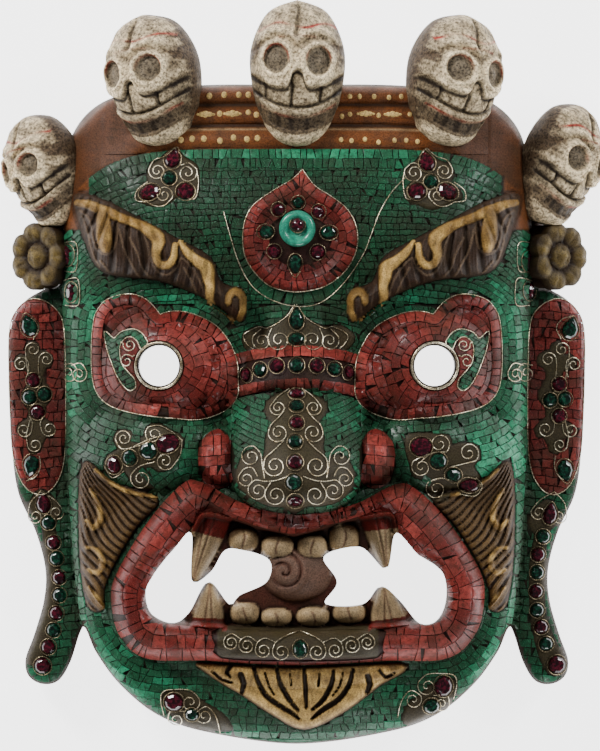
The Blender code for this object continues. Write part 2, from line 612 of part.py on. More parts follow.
def join_to(body, mesh):
    """Joins a carved part to the mask as one piece of wood."""
    tool = bpy.data.objects.new(mesh.name, mesh)
    bpy.context.collection.objects.link(tool)
    joint = body.modifiers.new("join", "BOOLEAN")
    joint.operation = "UNION"
    joint.solver = "EXACT"
    joint.object = tool
    bpy.context.view_layer.update()
    joined = bpy.data.meshes.new_from_object(body.evaluated_get(bpy.context.evaluated_depsgraph_get()))
    body.modifiers.clear()
    body.data = joined
    bpy.data.objects.remove(tool)


def carved_mask(parent):
    body = add_object("carved_mask", mask_shell(), "inlaid_wood", None)
    for side, (x, y, wide, high, deep, height, turn, tilt) in SKULLS.items():
        join_to(body, placed(skull_mesh("skull_" + side, wide, high, deep), x, y, height, turn, tilt))
    for side, (x, y, height, turn) in BOSSES.items():
        join_to(body, placed(boss_mesh("boss_" + side), x, y, height, turn, 0))
    body.parent = parent
    return body


# Pieces set on the carved wood

def seat(wood, x, y, radius):
    """A frame on the wood under a set piece, turned to the surface and clear of all the wood below it."""
    above = RELIEF_DEPTH * 2
    places = [(0, 0)]
    for share in (0.35, 0.7, 1, 1.15):
        places += [tuple(p) for p in ring_of(0, 0, radius * share, radius * share, 16)]
    hits = [wood.ray_cast(Vector((x + dx, y + dy, above)), Vector((0, 0, -1)))[0] for dx, dy in places]
    hits = [hit for hit in hits if hit is not None]
    middle = sum(hits, Vector()) / len(hits)
    normal = Vector(np.linalg.svd(np.array([hit - middle for hit in hits]))[2][2])
    if normal.z < 0:
        normal.negate()
    lift = max((hit - middle).dot(normal) for hit in hits) + CLEARANCE
    origin = middle + normal * lift
    across = Vector((1, 0, 0)).cross(normal).cross(normal).normalized() * -1
    turn = Matrix((across, normal.cross(across), normal)).transposed().to_4x4()
    return Matrix.Translation(origin) @ turn


def turned_mesh(name, half_profile, wide, high, sides):
    """A round piece turned from its half profile, then stretched one way."""
    made = bmesh.new()
    points = [made.verts.new((radius, 0, height)) for radius, height in half_profile]
    edges = [made.edges.new(pair) for pair in zip(points, points[1:])]
    bmesh.ops.spin(made, geom=points + edges, axis=(0, 0, 1), cent=(0, 0, 0), angle=2 * math.pi,
                   steps=sides, use_merge=True)
    bmesh.ops.remove_doubles(made, verts=made.verts, dist=1e-6)
    bmesh.ops.holes_fill(made, edges=[edge for edge in made.edges if edge.is_boundary])
    bmesh.ops.scale(made, vec=(wide, high, 1), verts=made.verts)
    bmesh.ops.recalc_face_normals(made, faces=made.faces)
    bmesh.ops.triangulate(made, faces=made.faces)
    mesh = bpy.data.meshes.new(name)
    made.to_mesh(mesh)
    made.free()
    return mesh


def set_stones(wood, parent):
    half_profile = [(0.94 * STONE_RADIUS, 0), (STONE_RADIUS, 0.35 * STONE_RISE), (0, STONE_RISE)]
    for place, stones in STONES.items():
        for i, (x, y, wide, high, turn, colour) in enumerate(stones, 1):
            name = f"stone_{place}_{i}"
            mesh = turned_mesh(name, half_profile, wide, high, 7)
            mesh.transform(Matrix.Rotation(math.radians(turn), 4, "Z"))
            stone = add_object(name, mesh, colour + "_stone", parent)
            stone.matrix_basis = seat(wood, x * UNIT, y * UNIT, STONE_RADIUS * max(wide, high))


def third_eye_disc(wood, parent):
    """A turquoise disc with a bead on it, in the middle of the third eye."""
    frame = seat(wood, THIRD_EYE_DISC[0] * UNIT, THIRD_EYE_DISC[1] * UNIT, DISC_RADIUS)
    disc = turned_mesh("third_eye_disc", [(DISC_RADIUS, 0), (DISC_RADIUS, DISC_RISE * 0.6),
                                          (DISC_RADIUS * 0.8, DISC_RISE), (BEAD_RADIUS, DISC_RISE)], 1, 1, 16)
    add_object("third_eye_disc", disc, "turquoise", parent).matrix_basis = frame
    height = DISC_RISE + CLEARANCE
    bead = turned_mesh("third_eye_bead", [(BEAD_RADIUS * 0.8, height), (BEAD_RADIUS, height + BEAD_RADIUS * 0.4),
                                          (BEAD_RADIUS * 0.6, height + BEAD_RADIUS * 0.8),
                                          (0, height + BEAD_RADIUS)], 1, 1, 9)
    add_object("third_eye_bead", bead, "green_stone", parent).matrix_basis = frame


def eye_ring(wood, side, parent):
    """A brass wire that follows the edge of an eye hole."""
    x, y = EYEBALL[0] * (-1 if side == "left" else 1) * UNIT, EYEBALL[1] * UNIT
    radius = EYE_HOLE_RADIUS + RING_WIRE * 1.9
    path = []
    for angle in np.arange(18) * 2 * math.pi / 18:
        around = [wood.ray_cast(Vector((x + reach * math.cos(a), y + reach * math.sin(a), RELIEF_DEPTH * 2)),
                                Vector((0, 0, -1)))[0]
                  for a in (angle - 0.18, angle - 0.09, angle, angle + 0.09, angle + 0.18)
                  for reach in (radius - RING_WIRE, radius, radius + RING_WIRE)]
        top = max(hit.z for hit in around if hit is not None)
        path.append(Vector((x + radius * math.cos(angle), y + radius * math.sin(angle),
                            top + RING_WIRE + CLEARANCE)))
    curve = bpy.data.curves.new("wire", "CURVE")
    curve.dimensions = "3D"
    curve.bevel_depth = RING_WIRE
    curve.bevel_resolution = 0
    line = curve.splines.new("POLY")
    line.points.add(len(path) - 1)
    for point, place in zip(line.points, path):
        point.co = (*place, 1)
    line.use_cyclic_u = True
    wire = bpy.data.objects.new("wire", curve)
    bpy.context.collection.objects.link(wire)
    bpy.context.view_layer.update()
    mesh = bpy.data.meshes.new_from_object(wire.evaluated_get(bpy.context.evaluated_depsgraph_get()))
    bpy.data.objects.remove(wire)
    mesh.materials.clear()
    add_object("eye_ring_" + side, mesh, "brass", parent)


def main():
    for old in list(bpy.data.objects):
        bpy.data.objects.remove(old)
    mask = bpy.data.objects.new("mask", None)
    bpy.context.collection.objects.link(mask)
    body = carved_mask(mask)
    wood = BVHTree.FromPolygons([v.co for v in body.data.vertices], [p.vertices for p in body.data.polygons])
    set_stones(wood, mask)
    third_eye_disc(wood, mask)
    for side in ("left", "right"):
        eye_ring(wood, side, mask)
    corners = np.array([vertex.co for vertex in body.data.vertices])
    middle = (corners.min(axis=0) + corners.max(axis=0)) / 2
    mask.location = (-middle[0], -middle[1], 0)


main()
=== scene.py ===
# A carved and inlaid dance mask of a wrathful protector, lying face up, seen from straight above.
# The face is worked out in millimetres from its own axis, and toMetres puts each piece in the frame.
import math
import random

import bmesh
import bpy
import numpy as np
from mathutils import Matrix, Vector
from mathutils.geometry import delaunay_2d_cdt


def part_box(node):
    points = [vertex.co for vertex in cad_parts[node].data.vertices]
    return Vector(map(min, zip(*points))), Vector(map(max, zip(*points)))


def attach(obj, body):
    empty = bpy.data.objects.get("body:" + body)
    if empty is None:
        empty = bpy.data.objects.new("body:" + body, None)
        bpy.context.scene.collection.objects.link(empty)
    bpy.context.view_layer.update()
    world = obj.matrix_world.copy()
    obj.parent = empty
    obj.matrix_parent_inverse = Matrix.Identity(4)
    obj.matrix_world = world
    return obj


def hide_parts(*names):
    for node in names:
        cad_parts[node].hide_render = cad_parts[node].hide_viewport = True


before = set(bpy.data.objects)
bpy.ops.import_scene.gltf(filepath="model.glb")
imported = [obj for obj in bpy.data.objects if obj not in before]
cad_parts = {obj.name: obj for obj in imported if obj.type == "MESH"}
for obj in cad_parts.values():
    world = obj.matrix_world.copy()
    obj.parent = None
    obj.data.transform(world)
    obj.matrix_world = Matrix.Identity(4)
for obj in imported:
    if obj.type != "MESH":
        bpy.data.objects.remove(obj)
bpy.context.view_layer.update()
print("frame loaded")

photo = {"scale": 0.67, "axis": 295.5, "middle": 374}   # mm per pixel, pixels
ringBoxes = [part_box("eye_ring_left"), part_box("eye_ring_right")]
ringMiddle = sum((corner for pair in ringBoxes for corner in pair), Vector()) / 4
eyeHeight = 5                                                    # eyes above the middle of the mask, mm
origin = Vector((ringMiddle.x, ringMiddle.y - eyeHeight / 1000, 0))


def placeAll(points):
    return np.asarray(points, float) / 1000 + np.array(origin)


def inMillimetres(points):
    return (np.array(points) - np.array(origin)) * 1000


def toMetres(bm):
    bmesh.ops.scale(bm, vec=(0.001, 0.001, 0.001), verts=bm.verts)
    bmesh.ops.translate(bm, vec=origin, verts=bm.verts)


def putAt(bm, middle, *turns):
    # stands a piece that was made at its own middle in its place, in metres
    put = Matrix.Translation(origin) @ Matrix.Scale(0.001, 4) @ Matrix.Translation(middle)
    for turn in turns:
        put = put @ turn
    bmesh.ops.transform(bm, matrix=put, verts=bm.verts)


def turnAbout(axis, degrees):
    return Matrix.Rotation(math.radians(degrees), 4, axis)


def spot(px, py):
    return (px - photo["axis"]) * photo["scale"], (photo["middle"] - py) * photo["scale"]


def spots(points):
    return np.array([spot(*point) for point in points])


# curves and distances in the face plane

def smoothCurve(points, closed=True, step=3.0):
    # a curve through the points; a point given twice makes a corner
    given = np.array(points, float)
    count = len(given)
    curve = []
    for i in range(count if closed else count - 1):
        if closed:
            a, b, c, d = (given[(i + k) % count] for k in (-1, 0, 1, 2))
        else:
            a, b, c, d = (given[min(max(i + k, 0), count - 1)] for k in (-1, 0, 1, 2))
        if np.allclose(b, c):
            continue
        t = np.arange(max(1, round(np.linalg.norm(c - b) / step)))[:, None]
        t = t / len(t)
        curve.append(0.5 * (2 * b + (c - a) * t + (2 * a - 5 * b + 4 * c - d) * t ** 2
                            + (3 * b - a - 3 * c + d) * t ** 3))
    if not closed:
        curve.append(given[-1:])
    return np.vstack(curve)


def mirrored(rightHalf):
    return rightHalf + [(-x, y) for x, y in reversed(rightHalf) if x > 0.01]


def otherSide(outline):
    return np.array(outline, float) * (-1, 1)


def toCurve(line, places, closed=True):
    # distance of each place to a line
    start = line if closed else line[:-1]
    run = (np.roll(line, -1, axis=0) if closed else line[1:]) - start
    nearest = np.full(len(places), 1e9)
    for (x, y), (dx, dy) in zip(start, run):
        along = ((places[:, 0] - x) * dx + (places[:, 1] - y) * dy) / max(dx * dx + dy * dy, 1e-9)
        along = np.clip(along, 0, 1)
        missed = (places[:, 0] - x - along * dx) ** 2 + (places[:, 1] - y - along * dy) ** 2
        nearest = np.minimum(nearest, missed)
    return np.sqrt(nearest)


def within(outline, places):
    inside = np.zeros(len(places), bool)
    for (x, y), (nextX, nextY) in zip(outline, np.roll(outline, -1, axis=0)):
        if abs(nextY - y) > 1e-9:
            crosses = (y > places[:, 1]) != (nextY > places[:, 1])
            inside ^= crosses & (places[:, 0] < x + (places[:, 1] - y) / (nextY - y) * (nextX - x))
    return inside


def signedDepth(outline, places):
    # distance to the outline, positive inside it
    return np.where(within(outline, places), 1, -1) * toCurve(outline, places)


def depthInside(outline, places, margin=14, farAway=-99.0):
    # the same, but places far outside the outline are not measured
    near = np.all((places > outline.min(0) - margin) & (places < outline.max(0) + margin), axis=1)
    depth = np.full(len(places), farAway)
    depth[near] = signedDepth(outline, places[near])
    return depth


def folded(places):
    # both halves of the face laid on its right half
    return np.column_stack((np.abs(places[:, 0]), places[:, 1]))


def ease(value):
    value = np.clip(value, 0, 1)
    return value * value * (3 - 2 * value)


def roundOver(value):
    return np.sqrt(np.clip(1 - (1 - np.clip(value, 0, 1)) ** 2, 0, 1))


def profile(points, at):
    curve = smoothCurve(points, False, 2.0)
    curve = curve[np.argsort(curve[:, 0])]
    return np.interp(at, curve[:, 0], curve[:, 1])


def mound(form, places):
    x, y, halfWidth, halfHeight, rise = form
    reach = ((np.abs(places[:, 0]) - x) / halfWidth) ** 2 + ((places[:, 1] - y) / halfHeight) ** 2
    return rise * np.clip(1 - reach, 0, 1) ** 0.75


def ridge(line, places, halfWidth, rise):
    # a rounded ridge along an open line
    low, high = line.min(0) - halfWidth - 1, line.max(0) + halfWidth + 1
    near = np.all((places > low) & (places < high), axis=1)
    raised = np.zeros(len(places))
    raised[near] = rise * np.sqrt(np.clip(1 - (toCurve(line, places[near], False) / halfWidth) ** 2, 0, 1))
    return raised


def taperedRidge(points, places):
    # a rounded ridge whose half width changes along its line: how much of its full rise it has
    given = smoothCurve([(*spot(px, py), width) for px, py, width in points], False)
    widest = given[:, 2].max() + 1
    near = np.all((places > given[:, :2].min(0) - widest) & (places < given[:, :2].max(0) + widest), axis=1)
    close = places[near]
    best = np.full(len(close), 9.0)
    for (x, y, wide), (nextX, nextY, nextWide) in zip(given, given[1:]):
        dx, dy = nextX - x, nextY - y
        along = ((close[:, 0] - x) * dx + (close[:, 1] - y) * dy) / max(dx * dx + dy * dy, 1e-9)
        along = np.clip(along, 0, 1)
        away = np.hypot(close[:, 0] - x - along * dx, close[:, 1] - y - along * dy)
        best = np.minimum(best, away / (wide + along * (nextWide - wide)))
    raised = np.zeros(len(places))
    raised[near] = np.sqrt(np.clip(1 - best ** 2, 0, 1))
    return raised


def wobble(places, size, seed=0.0):
    # slow waves that make hand-cut lines uneven
    x, y = places[:, 0] / size, places[:, 1] / size
    return (np.sin(x * 1.7 + y * 2.3 + seed) + np.sin(x * 3.1 - y * 1.3 + seed * 2)
            + np.sin(y * 3.7 + x * 0.7 - seed)) / 3


# the head, in millimetres: the same forms as the carved solid
head = {
    "line": [(-262, 58), (-235, 74), (-205, 84), (-165, 90), (-120, 94), (-60, 97), (0, 97), (50, 101),
             (92, 106), (125, 101), (152, 90), (180, 82), (215, 72)],
    "halfWidth": 161, "side": 24, "roundness": 2.5, "wall": 19, "rim": 13, "rimSlope": 24, "edgeRound": 11,
    "earBack": 13, "earThickness": 19, "earEdge": 9, "earDrop": 7, "earLean": 0.12, "earReach": 194,
    "hollowShare": 0.72, "earStep": 5,
    "crown": [(0, 193), (60, 193), (104, 189.5), (130, 182), (147, 167), (155, 146), (158, 110)],
    "ear": [(159, 64), (170, 57), (184, 48), (192.5, 32), (194.5, 0), (192.5, -46), (188, -80), (176, -107),
            (169.5, -132), (170.5, -153), (177, -176), (183, -193), (181, -204), (172, -209.5), (161, -207.5),
            (153, -195)],
    "jaw": [(143.5, -170), (134, -188), (118, -209), (93, -229), (60, -240.5), (0, -248.5)],
    "earRoot": [(158, 70), (156, 10), (153.5, -60), (150, -120), (143.5, -170)],
    "noseLine": [(60, 0), (34, 5), (15, 12), (-12, 26), (-40, 46), (-62, 60), (-76, 63), (-86, 55),
                 (-94, 22), (-99, 0)],
    "noseWidth": [(60, 10), (28, 22), (0, 36), (-24, 46), (-60, 47), (-80, 40), (-94, 22), (-99, 14)],
}
forms = {"eyeball": (91.5, 5, 37, 37, 19), "nostril": (50, -55, 15, 21, 27), "cheek": (99, -50, 46, 30, 17),
         "browKnob": (39, 47, 10, 11, 6), "muzzle": (0, -132, 140, 78, 15), "chin": (0, -213, 74, 34, 8)}
eyeHole = {"x": 91.5, "y": 5, "radius": 13.6}

outlines = {
    "mask": smoothCurve(mirrored(head["crown"] + head["ear"] + head["jaw"])),
    "head": smoothCurve(mirrored(head["crown"] + head["earRoot"] + head["jaw"][1:])),
    "brow": smoothCurve([(149.5, 119), (128, 115.5), (105, 103.5), (80, 90), (58, 77.5), (50, 61), (36, 55),
                         (33.5, 45), (37, 34), (58, 48), (90, 61), (128, 67), (141, 86)]),
    "pouch": smoothCurve([(90.7, 39.2), (90.7, 39.2), (84.8, 41), (75.1, 41), (63.3, 37.3), (52.7, 31),
                          (45.2, 21.4), (40, 9.6), (38.8, -1.1), (39.5, -16), (48.6, -25.5), (64.7, -30.8),
                          (80.7, -30), (101.8, -27.8), (120.3, -23.5), (129.6, -18), (135, -9.6),
                          (137, 3.1), (137, 20.2), (136, 32.2), (133.9, 40.5), (127.6, 48.5),
                          (116.9, 52.3), (107.2, 52.3), (98.6, 48)]),
    "thirdEye": smoothCurve([(3.8, 135.7), (3.8, 135.7), (-2.9, 129), (-13, 122.9), (-23.4, 116.2),
                             (-30.5, 109.5), (-34.6, 100.3), (-35.8, 89.1), (-34.2, 77.7), (-28.5, 67.7),
                             (-18.4, 58.3), (-5, 54.3), (7.4, 54.7), (19.8, 58.3), (31, 66.5),
                             (38.2, 77.7), (40.5, 89.1), (38.7, 99.7), (33, 109.5), (22.8, 117.5),
                             (13.5, 123.4), (8, 129.5)]),
    "outerLip": smoothCurve([(0, -93), (-34, -87), (-64, -72.5), (-76, -74), (-98, -98), (-119, -132),
                             (-123.5, -150), (-118, -175), (-100, -190), (-60, -191), (0, -193.5),
                             (60, -191), (100, -190), (119, -174), (125, -150), (121, -130), (100, -98),
                             (80, -78), (66, -74), (36, -88)]),
    "innerLip": smoothCurve([(0, -106), (-24, -101.5), (-60, -92), (-72, -107), (-92, -128), (-101, -149),
                             (-96, -163), (-75, -168), (0, -171), (75, -168), (96, -163), (101, -149),
                             (94, -129), (70, -113), (62, -92), (26, -99)]),
    "beard": smoothCurve([(143, -60), (121, -73), (92, -84), (108, -105), (127, -140), (129, -158),
                          (141, -154), (146, -110)]),
    "chinLock": smoothCurve([(0, -195), (40, -194), (70, -193), (72, -199), (56, -208), (32, -226),
                             (5, -238), (-18, -227), (-36, -215), (-48, -208), (-60, -200), (-67, -193),
                             (-40, -194)]),
    "leftGap": smoothCurve([(-70, -106), (-82, -117), (-98, -138), (-101, -149), (-97, -161), (-83, -167),
                            (-72, -160), (-59, -139), (-45, -154), (-38, -148), (-20, -139), (-18, -124.5),
                            (-36, -117.5), (-48, -118), (-57, -132), (-69.5, -138)]),
    "rightGap": smoothCurve([(66, -106), (81, -120.5), (97, -132), (100, -150), (94, -165), (82, -167),
                             (69, -152), (56, -142), (44, -154), (19, -153.5), (27, -139), (18, -122),
                             (42, -115.5), (59.5, -130)]),
    "earPanel": smoothCurve(spots([(529, 330), (540, 307), (560, 299), (577, 310), (585, 335), (584, 400),
                                   (581, 455), (570, 486), (553, 496), (538, 486), (529, 460),
                                   (527, 400)])),
}
angles = np.arange(64) * math.pi / 32


def eyeCircle(side, radius):
    circle = radius * np.cos(angles), radius * np.sin(angles)
    return np.column_stack((eyeHole["x"] * side + circle[0], eyeHole["y"] + circle[1]))


for side, name in ((-1, "leftEyeHole"), (1, "rightEyeHole")):
    outlines[name] = eyeCircle(side, eyeHole["radius"])
edgeLoops = [outlines[name] for name in ("mask", "leftEyeHole", "rightEyeHole", "leftGap", "rightGap")]

mouthParts = {
    "depth": 15, "lipRise": 15, "lipHalfWidth": 12, "tongue": (0, -133, 24, 19, 15),
    # middle, half width, half height, rise
    "teeth": [(-35.5, -111, 10, 8, 14), (-12.7, -115.5, 11.2, 8, 15), (10.4, -115.7, 10.5, 8, 15),
              (31.5, -110, 10.2, 10, 14), (-34.5, -160, 9.8, 7.6, 14), (-13.7, -162.5, 10.6, 6.2, 15),
              (11, -162, 11.2, 6.6, 15), (35, -159.5, 11, 7.2, 14)],
    # root, tip, half width at the root, rise
    "fangs": [(-57, -93, -69.5, -140, 15, 19), (55, -92, 60, -131.5, 14, 19),
              (-59, -173, -57.5, -139, 13, 16), (62, -173, 58, -141, 15, 16)],
}
bridgeBand = {"height": 4, "droop": 0.0035, "halfHeight": 14, "halfWidth": 62, "rise": 8}
mouldings = {"bands": [(150, 164, 4), (166, 178, 3.5), (180, 194, 4)], "reach": 100, "grooves": (165, 179)}
# the painted crown: where it starts, how far it droops at its ends, and the corner of its sides
crown = {"low": 149.5, "droop": 26, "halfWidth": 146, "side": 139, "sideLow": 96}
# gilt ridges of the left brow and beard: pixel, pixel, half width in mm
browGilt = [
    [(76, 204, 2), (88, 206, 3), (97, 210, 3.6), (108, 214, 3.6), (121, 220, 3.2), (135, 225, 3.2),
     (147, 231, 4.2), (158, 240, 5), (158, 248, 4), (156, 257, 3), (160, 266, 2.8), (168, 267, 2.8),
     (174, 259, 2.6), (175, 247, 2)],
    [(180, 243, 1.2), (187, 254, 3), (197, 263, 3.8), (207, 270, 5), (208, 279, 4.4), (210, 290, 3.2),
     (209, 301, 3), (213, 309, 2.4), (224, 317, 2.2), (236, 323, 1.5)],
    [(239, 320, 2), (243, 309, 2.6), (242, 298, 3), (235, 293, 3), (229, 297, 2.6), (228, 304, 2.2)],
    [(103, 214, 4), (104, 228, 5.2), (105, 242, 5.6), (106, 250, 3.5)],
]
lockGrooves = [
    [(253, 666, 1.3), (257, 679, 1.7), (265, 694, 2.0), (278, 704, 2.0), (291, 712, 1.6), (299, 719, 0.9)],
    [(276, 667, 1.2), (279, 681, 1.7), (288, 698, 1.9), (297, 709, 1.2)],
    [(303, 667, 1.1), (304, 684, 1.7), (305, 706, 1.2)],
    [(332, 669, 1.3), (330, 682, 1.7), (322, 698, 1.9), (311, 708, 1.2)],
    [(351, 668, 1.3), (347, 684, 1.8), (337, 698, 2.0), (322, 708, 2.0), (310, 718, 1.0)],
    [(240, 673, 2.2), (243, 682, 2.2), (241, 691, 1.6)], [(366, 675, 2.2), (368, 683, 2.2), (365, 691, 1.6)],
    [(212, 670, 1.0), (221, 678, 1.3), (231, 681, 1.0)], [(377, 668, 1.0), (384, 676, 1.3), (392, 672, 1.0)],
    [(231, 664, 1.4), (226, 671, 1.4), (230, 676, 0.8)], [(289, 672, 0.8), (290, 683, 0.8)],
    [(318, 672, 0.8), (317, 684, 0.8)], [(264, 671, 0.7), (268, 684, 0.7), (273, 693, 0.6)],
    [(341, 671, 0.7), (338, 684, 0.7), (331, 694, 0.6)],
]
browLines = [smoothCurve(spots(line), False) for line in (
    [(80, 212), (90, 222), (93, 240), (98, 252), (107, 256), (115, 249), (118, 234), (118, 224), (126, 226),
     (141, 233), (148, 246), (152, 262), (158, 273), (167, 277), (177, 269), (181, 260), (192, 270),
     (202, 288),
     (205, 302), (216, 314)],
    [(120, 232), (124, 250), (132, 266), (140, 280)], [(130, 240), (138, 256), (144, 272), (156, 284)],
    [(82, 218), (88, 236), (93, 256), (104, 278)], [(184, 270), (192, 284), (198, 298), (205, 306)],
    [(100, 262), (112, 276), (124, 283)])]
beardGilt = [
    [(90, 490, 1.4), (98, 505, 2), (100, 519, 2.4), (93, 528, 2.4), (86, 521, 1.6)],
    [(86, 548, 1.4), (96, 550, 2), (103, 562, 2.4), (97, 573, 2.2), (88, 570, 1.6)],
    [(88, 588, 1.2), (97, 598, 2), (107, 611, 1.2)], [(95, 470, 1), (112, 484, 1.6), (132, 493, 1.6),
                                                      (158, 497, 1)],
]
print("outlines ready")


def bareHead(places):
    across = np.clip(np.abs(places[:, 0]) / head["halfWidth"], 0, 1)
    dome = (1 - across ** head["roundness"]) ** (1 / head["roundness"])
    return head["side"] + (profile(head["line"], places[:, 1]) - head["side"]) * dome


def swell(places):
    side = np.abs(places[:, 0])
    width = profile(head["noseWidth"], places[:, 1])
    nose = profile(head["noseLine"], places[:, 1]) * np.sqrt(np.clip(1 - (side / width) ** 2, 0, 1))
    nose = np.maximum(nose, mound(forms["nostril"], places))
    return (np.maximum(nose, mound(forms["muzzle"], places)) + mound(forms["eyeball"], places)
            + mound(forms["cheek"], places))


def backHeight(places):
    edge = signedDepth(outlines["head"], places)
    hollow = bareHead(places) + head["hollowShare"] * swell(places) - head["wall"]
    inside = ease((edge - head["rim"]) / head["rimSlope"]) * hollow
    return np.where(edge > 0, inside, head["earBack"] * ease((-edge - 1) / head["earStep"]))


def bandHeight(places):
    # height on the face, measured along the drooping bands of the crown
    return places[:, 1] + crown["droop"] * (np.abs(places[:, 0]) / crown["halfWidth"]) ** 6


def toothShapes(places):
    # how high the teeth and the tongue stand at each place, and which of them is there
    rise = np.zeros(len(places))
    kind = np.zeros(len(places), int)
    line = np.zeros(len(places))
    for x, y, halfWidth, halfHeight, height in mouthParts["teeth"]:
        across = np.abs(places[:, 0] - x) / halfWidth
        along = np.abs(places[:, 1] - y) / halfHeight
        tooth = height * np.clip(1 - across ** 2.5 - along ** 2.5, 0, 1) ** 0.45
        split = np.exp(-((places[:, 0] - x - 1.2 * np.sin(places[:, 1] / 3)) / 0.7) ** 2) * (tooth > 0)
        tooth -= 1.0 * split
        higher = tooth > rise
        kind = np.where(higher, 1, kind)
        line = np.where(higher, split * (np.abs(places[:, 1] - y) < halfHeight * 0.6), line)
        rise = np.maximum(rise, tooth)
    for rootX, rootY, tipX, tipY, halfWidth, height in mouthParts["fangs"]:
        run = np.array((tipX - rootX, tipY - rootY))
        length = np.hypot(*run)
        offset = places - (rootX, rootY)
        along = offset @ run / length ** 2
        across = np.abs(offset @ np.array((-run[1], run[0]))) / length
        taper = halfWidth * np.clip(1.03 - along, 0.02, 1) ** 0.55
        fang = height * np.clip(1 - (across / taper) ** 1.7, 0, 1) ** 0.6 * ((along > -0.05) & (along < 1.05))
        keel = np.exp(-((across - 3.2 * np.clip(1 - along, 0, 1)) / 0.7) ** 2)
        fang -= 1.1 * keel * (fang > 2)
        higher = fang > rise
        kind = np.where(higher, np.where(along < 0.3, 3, 1), kind)
        line = np.where(higher, 0.8 * keel, line)
        rise = np.maximum(rise, fang)
    x, y, halfWidth, halfHeight, height = mouthParts["tongue"]
    reach = ((places[:, 0] - x) / halfWidth) ** 2 + ((places[:, 1] - y) / halfHeight) ** 2
    curlX, curlY = places[:, 0] + 8.5, places[:, 1] - y - 1
    curl = np.hypot(curlX, curlY)
    groove = 0.5 + 0.5 * np.cos(np.arctan2(curlY, -curlX) + curl * 2 * math.pi / 7.5)
    wind = ease((17 - curl) / 3)
    cut = 2.4 * groove ** 4 * wind + 1.4 * (1 - wind)
    tongue = height * np.sqrt(np.clip(1 - reach, 0, 1)) - cut * (reach < 1)
    higher = tongue > rise
    kind = np.where(higher, 2, kind)
    line = np.where(higher, 0.8 * groove ** 4 * wind, line)
    return np.maximum(rise, tongue), kind, line


woodPaint = {                                                    # linear colours
    "resin": (0.010, 0.012, 0.007), "redResin": (0.018, 0.006, 0.005), "crown": (0.150, 0.048, 0.014),
    "gilt": (0.58, 0.38, 0.125), "oldGilt": (0.165, 0.092, 0.025), "bronze": (0.115, 0.066, 0.026),
    "umber": (0.014, 0.007, 0.004), "brown": (0.032, 0.016, 0.010), "tooth": (0.390, 0.285, 0.160),
    "gum": (0.095, 0.030, 0.022), "redGum": (0.13, 0.012, 0.010), "tongue": (0.135, 0.076, 0.056),
    "bareWood": (0.026, 0.014, 0.008), "bed": (0.036, 0.029, 0.014), "cream": (0.62, 0.47, 0.27),
    "strand": (0.130, 0.085, 0.052),
}


# resin beds under the filigree, in pixels of the photo
beds = {name: smoothCurve(spots(line), True, 4) for name, line in {
    "foreheadLeft": [(174, 149), (183, 158), (197, 168), (199, 186), (195, 202), (179, 198), (172, 204),
                     (160, 209), (147, 207), (135, 201), (138, 190), (147, 185), (146, 172), (156, 163)],
    "foreheadRight": [(424, 151), (434, 160), (449, 168), (453, 177), (448, 184), (458, 191), (460, 201),
                      (447, 206), (430, 212), (416, 207), (403, 201), (403, 191), (409, 184), (403, 174),
                      (414, 162)],
    "bridge": [(293, 304), (284, 318), (267, 328), (256, 327), (242, 335), (243, 348), (252, 354),
               (270, 351), (293, 349), (318, 350), (337, 354), (348, 349), (354, 337), (339, 326),
               (320, 326), (304, 318)],
    "nose": [(294, 387), (308, 393), (325, 403), (323, 416), (317, 424), (323, 436), (322, 446), (325, 461),
             (331, 454), (344, 456), (352, 470), (350, 487), (338, 500), (320, 505), (305, 505), (294, 513),
             (283, 506), (268, 505), (250, 496), (238, 485), (236, 470), (243, 454), (255, 448), (262, 457),
             (264, 446), (265, 434), (272, 424), (265, 416), (265, 402), (280, 393)],
    "cheekLeft": [(184, 439), (179, 456), (171, 469), (158, 472), (151, 467), (141, 470), (147, 481),
                  (154, 488), (138, 490), (129, 479), (124, 472), (112, 478), (103, 468), (107, 455),
                  (117, 449), (113, 440), (118, 430), (131, 431), (136, 441), (143, 437), (146, 427),
                  (158, 423), (169, 429)],
    "cheekRight": [(403, 436), (416, 432), (430, 434), (447, 435), (450, 445), (458, 442), (475, 445),
                   (479, 458), (472, 466), (480, 480), (477, 493), (464, 497), (450, 489), (446, 501),
                   (430, 501), (423, 490), (428, 479), (412, 478), (407, 464), (403, 450)],
    "earLeft": [(29, 341), (36, 344), (38, 350), (43, 351), (50, 356), (50, 366), (44, 369), (41, 376),
                (44, 384), (49, 392), (48, 402), (43, 408), (42, 418), (47, 422), (54, 430), (51, 438),
                (44, 439), (40, 446), (38, 453), (30, 456), (24, 448), (26, 441), (22, 440), (14, 433),
                (16, 424), (24, 420), (26, 412), (20, 403), (19, 393), (25, 384), (24, 372), (14, 371),
                (11, 361), (17, 354), (23, 355), (23, 346)],
    "chinLeft": [(160, 694), (172, 690), (190, 691), (202, 700), (216, 708), (226, 716), (232, 730),
                 (214, 731), (196, 727), (178, 721), (168, 714)],
    "chinRight": [(455, 680), (448, 677), (430, 684), (418, 694), (404, 706), (402, 724), (418, 722),
                  (436, 712), (449, 702), (455, 692)],
}.items()}
beds["earRight"] = otherSide(beds["earLeft"]) + (-2.5, 0)
for side, name, shift in ((-1, "lobeLeft", (-3, 7)), (1, "lobeRight", (0, 0))):     # the strip down each lobe
    line = spots([(549, 500), (558, 510), (562, 522), (549, 534), (546, 556), (545, 575), (545, 596),
                  (546, 616), (552, 634), (560, 650), (568, 664), (560, 678), (548, 676), (541, 664),
                  (535, 645), (531, 622), (529, 598), (529, 574), (531, 552), (534, 536), (527, 524),
                  (536, 508)])
    beds[name] = smoothCurve(line * (side, 1) + shift, True, 4)


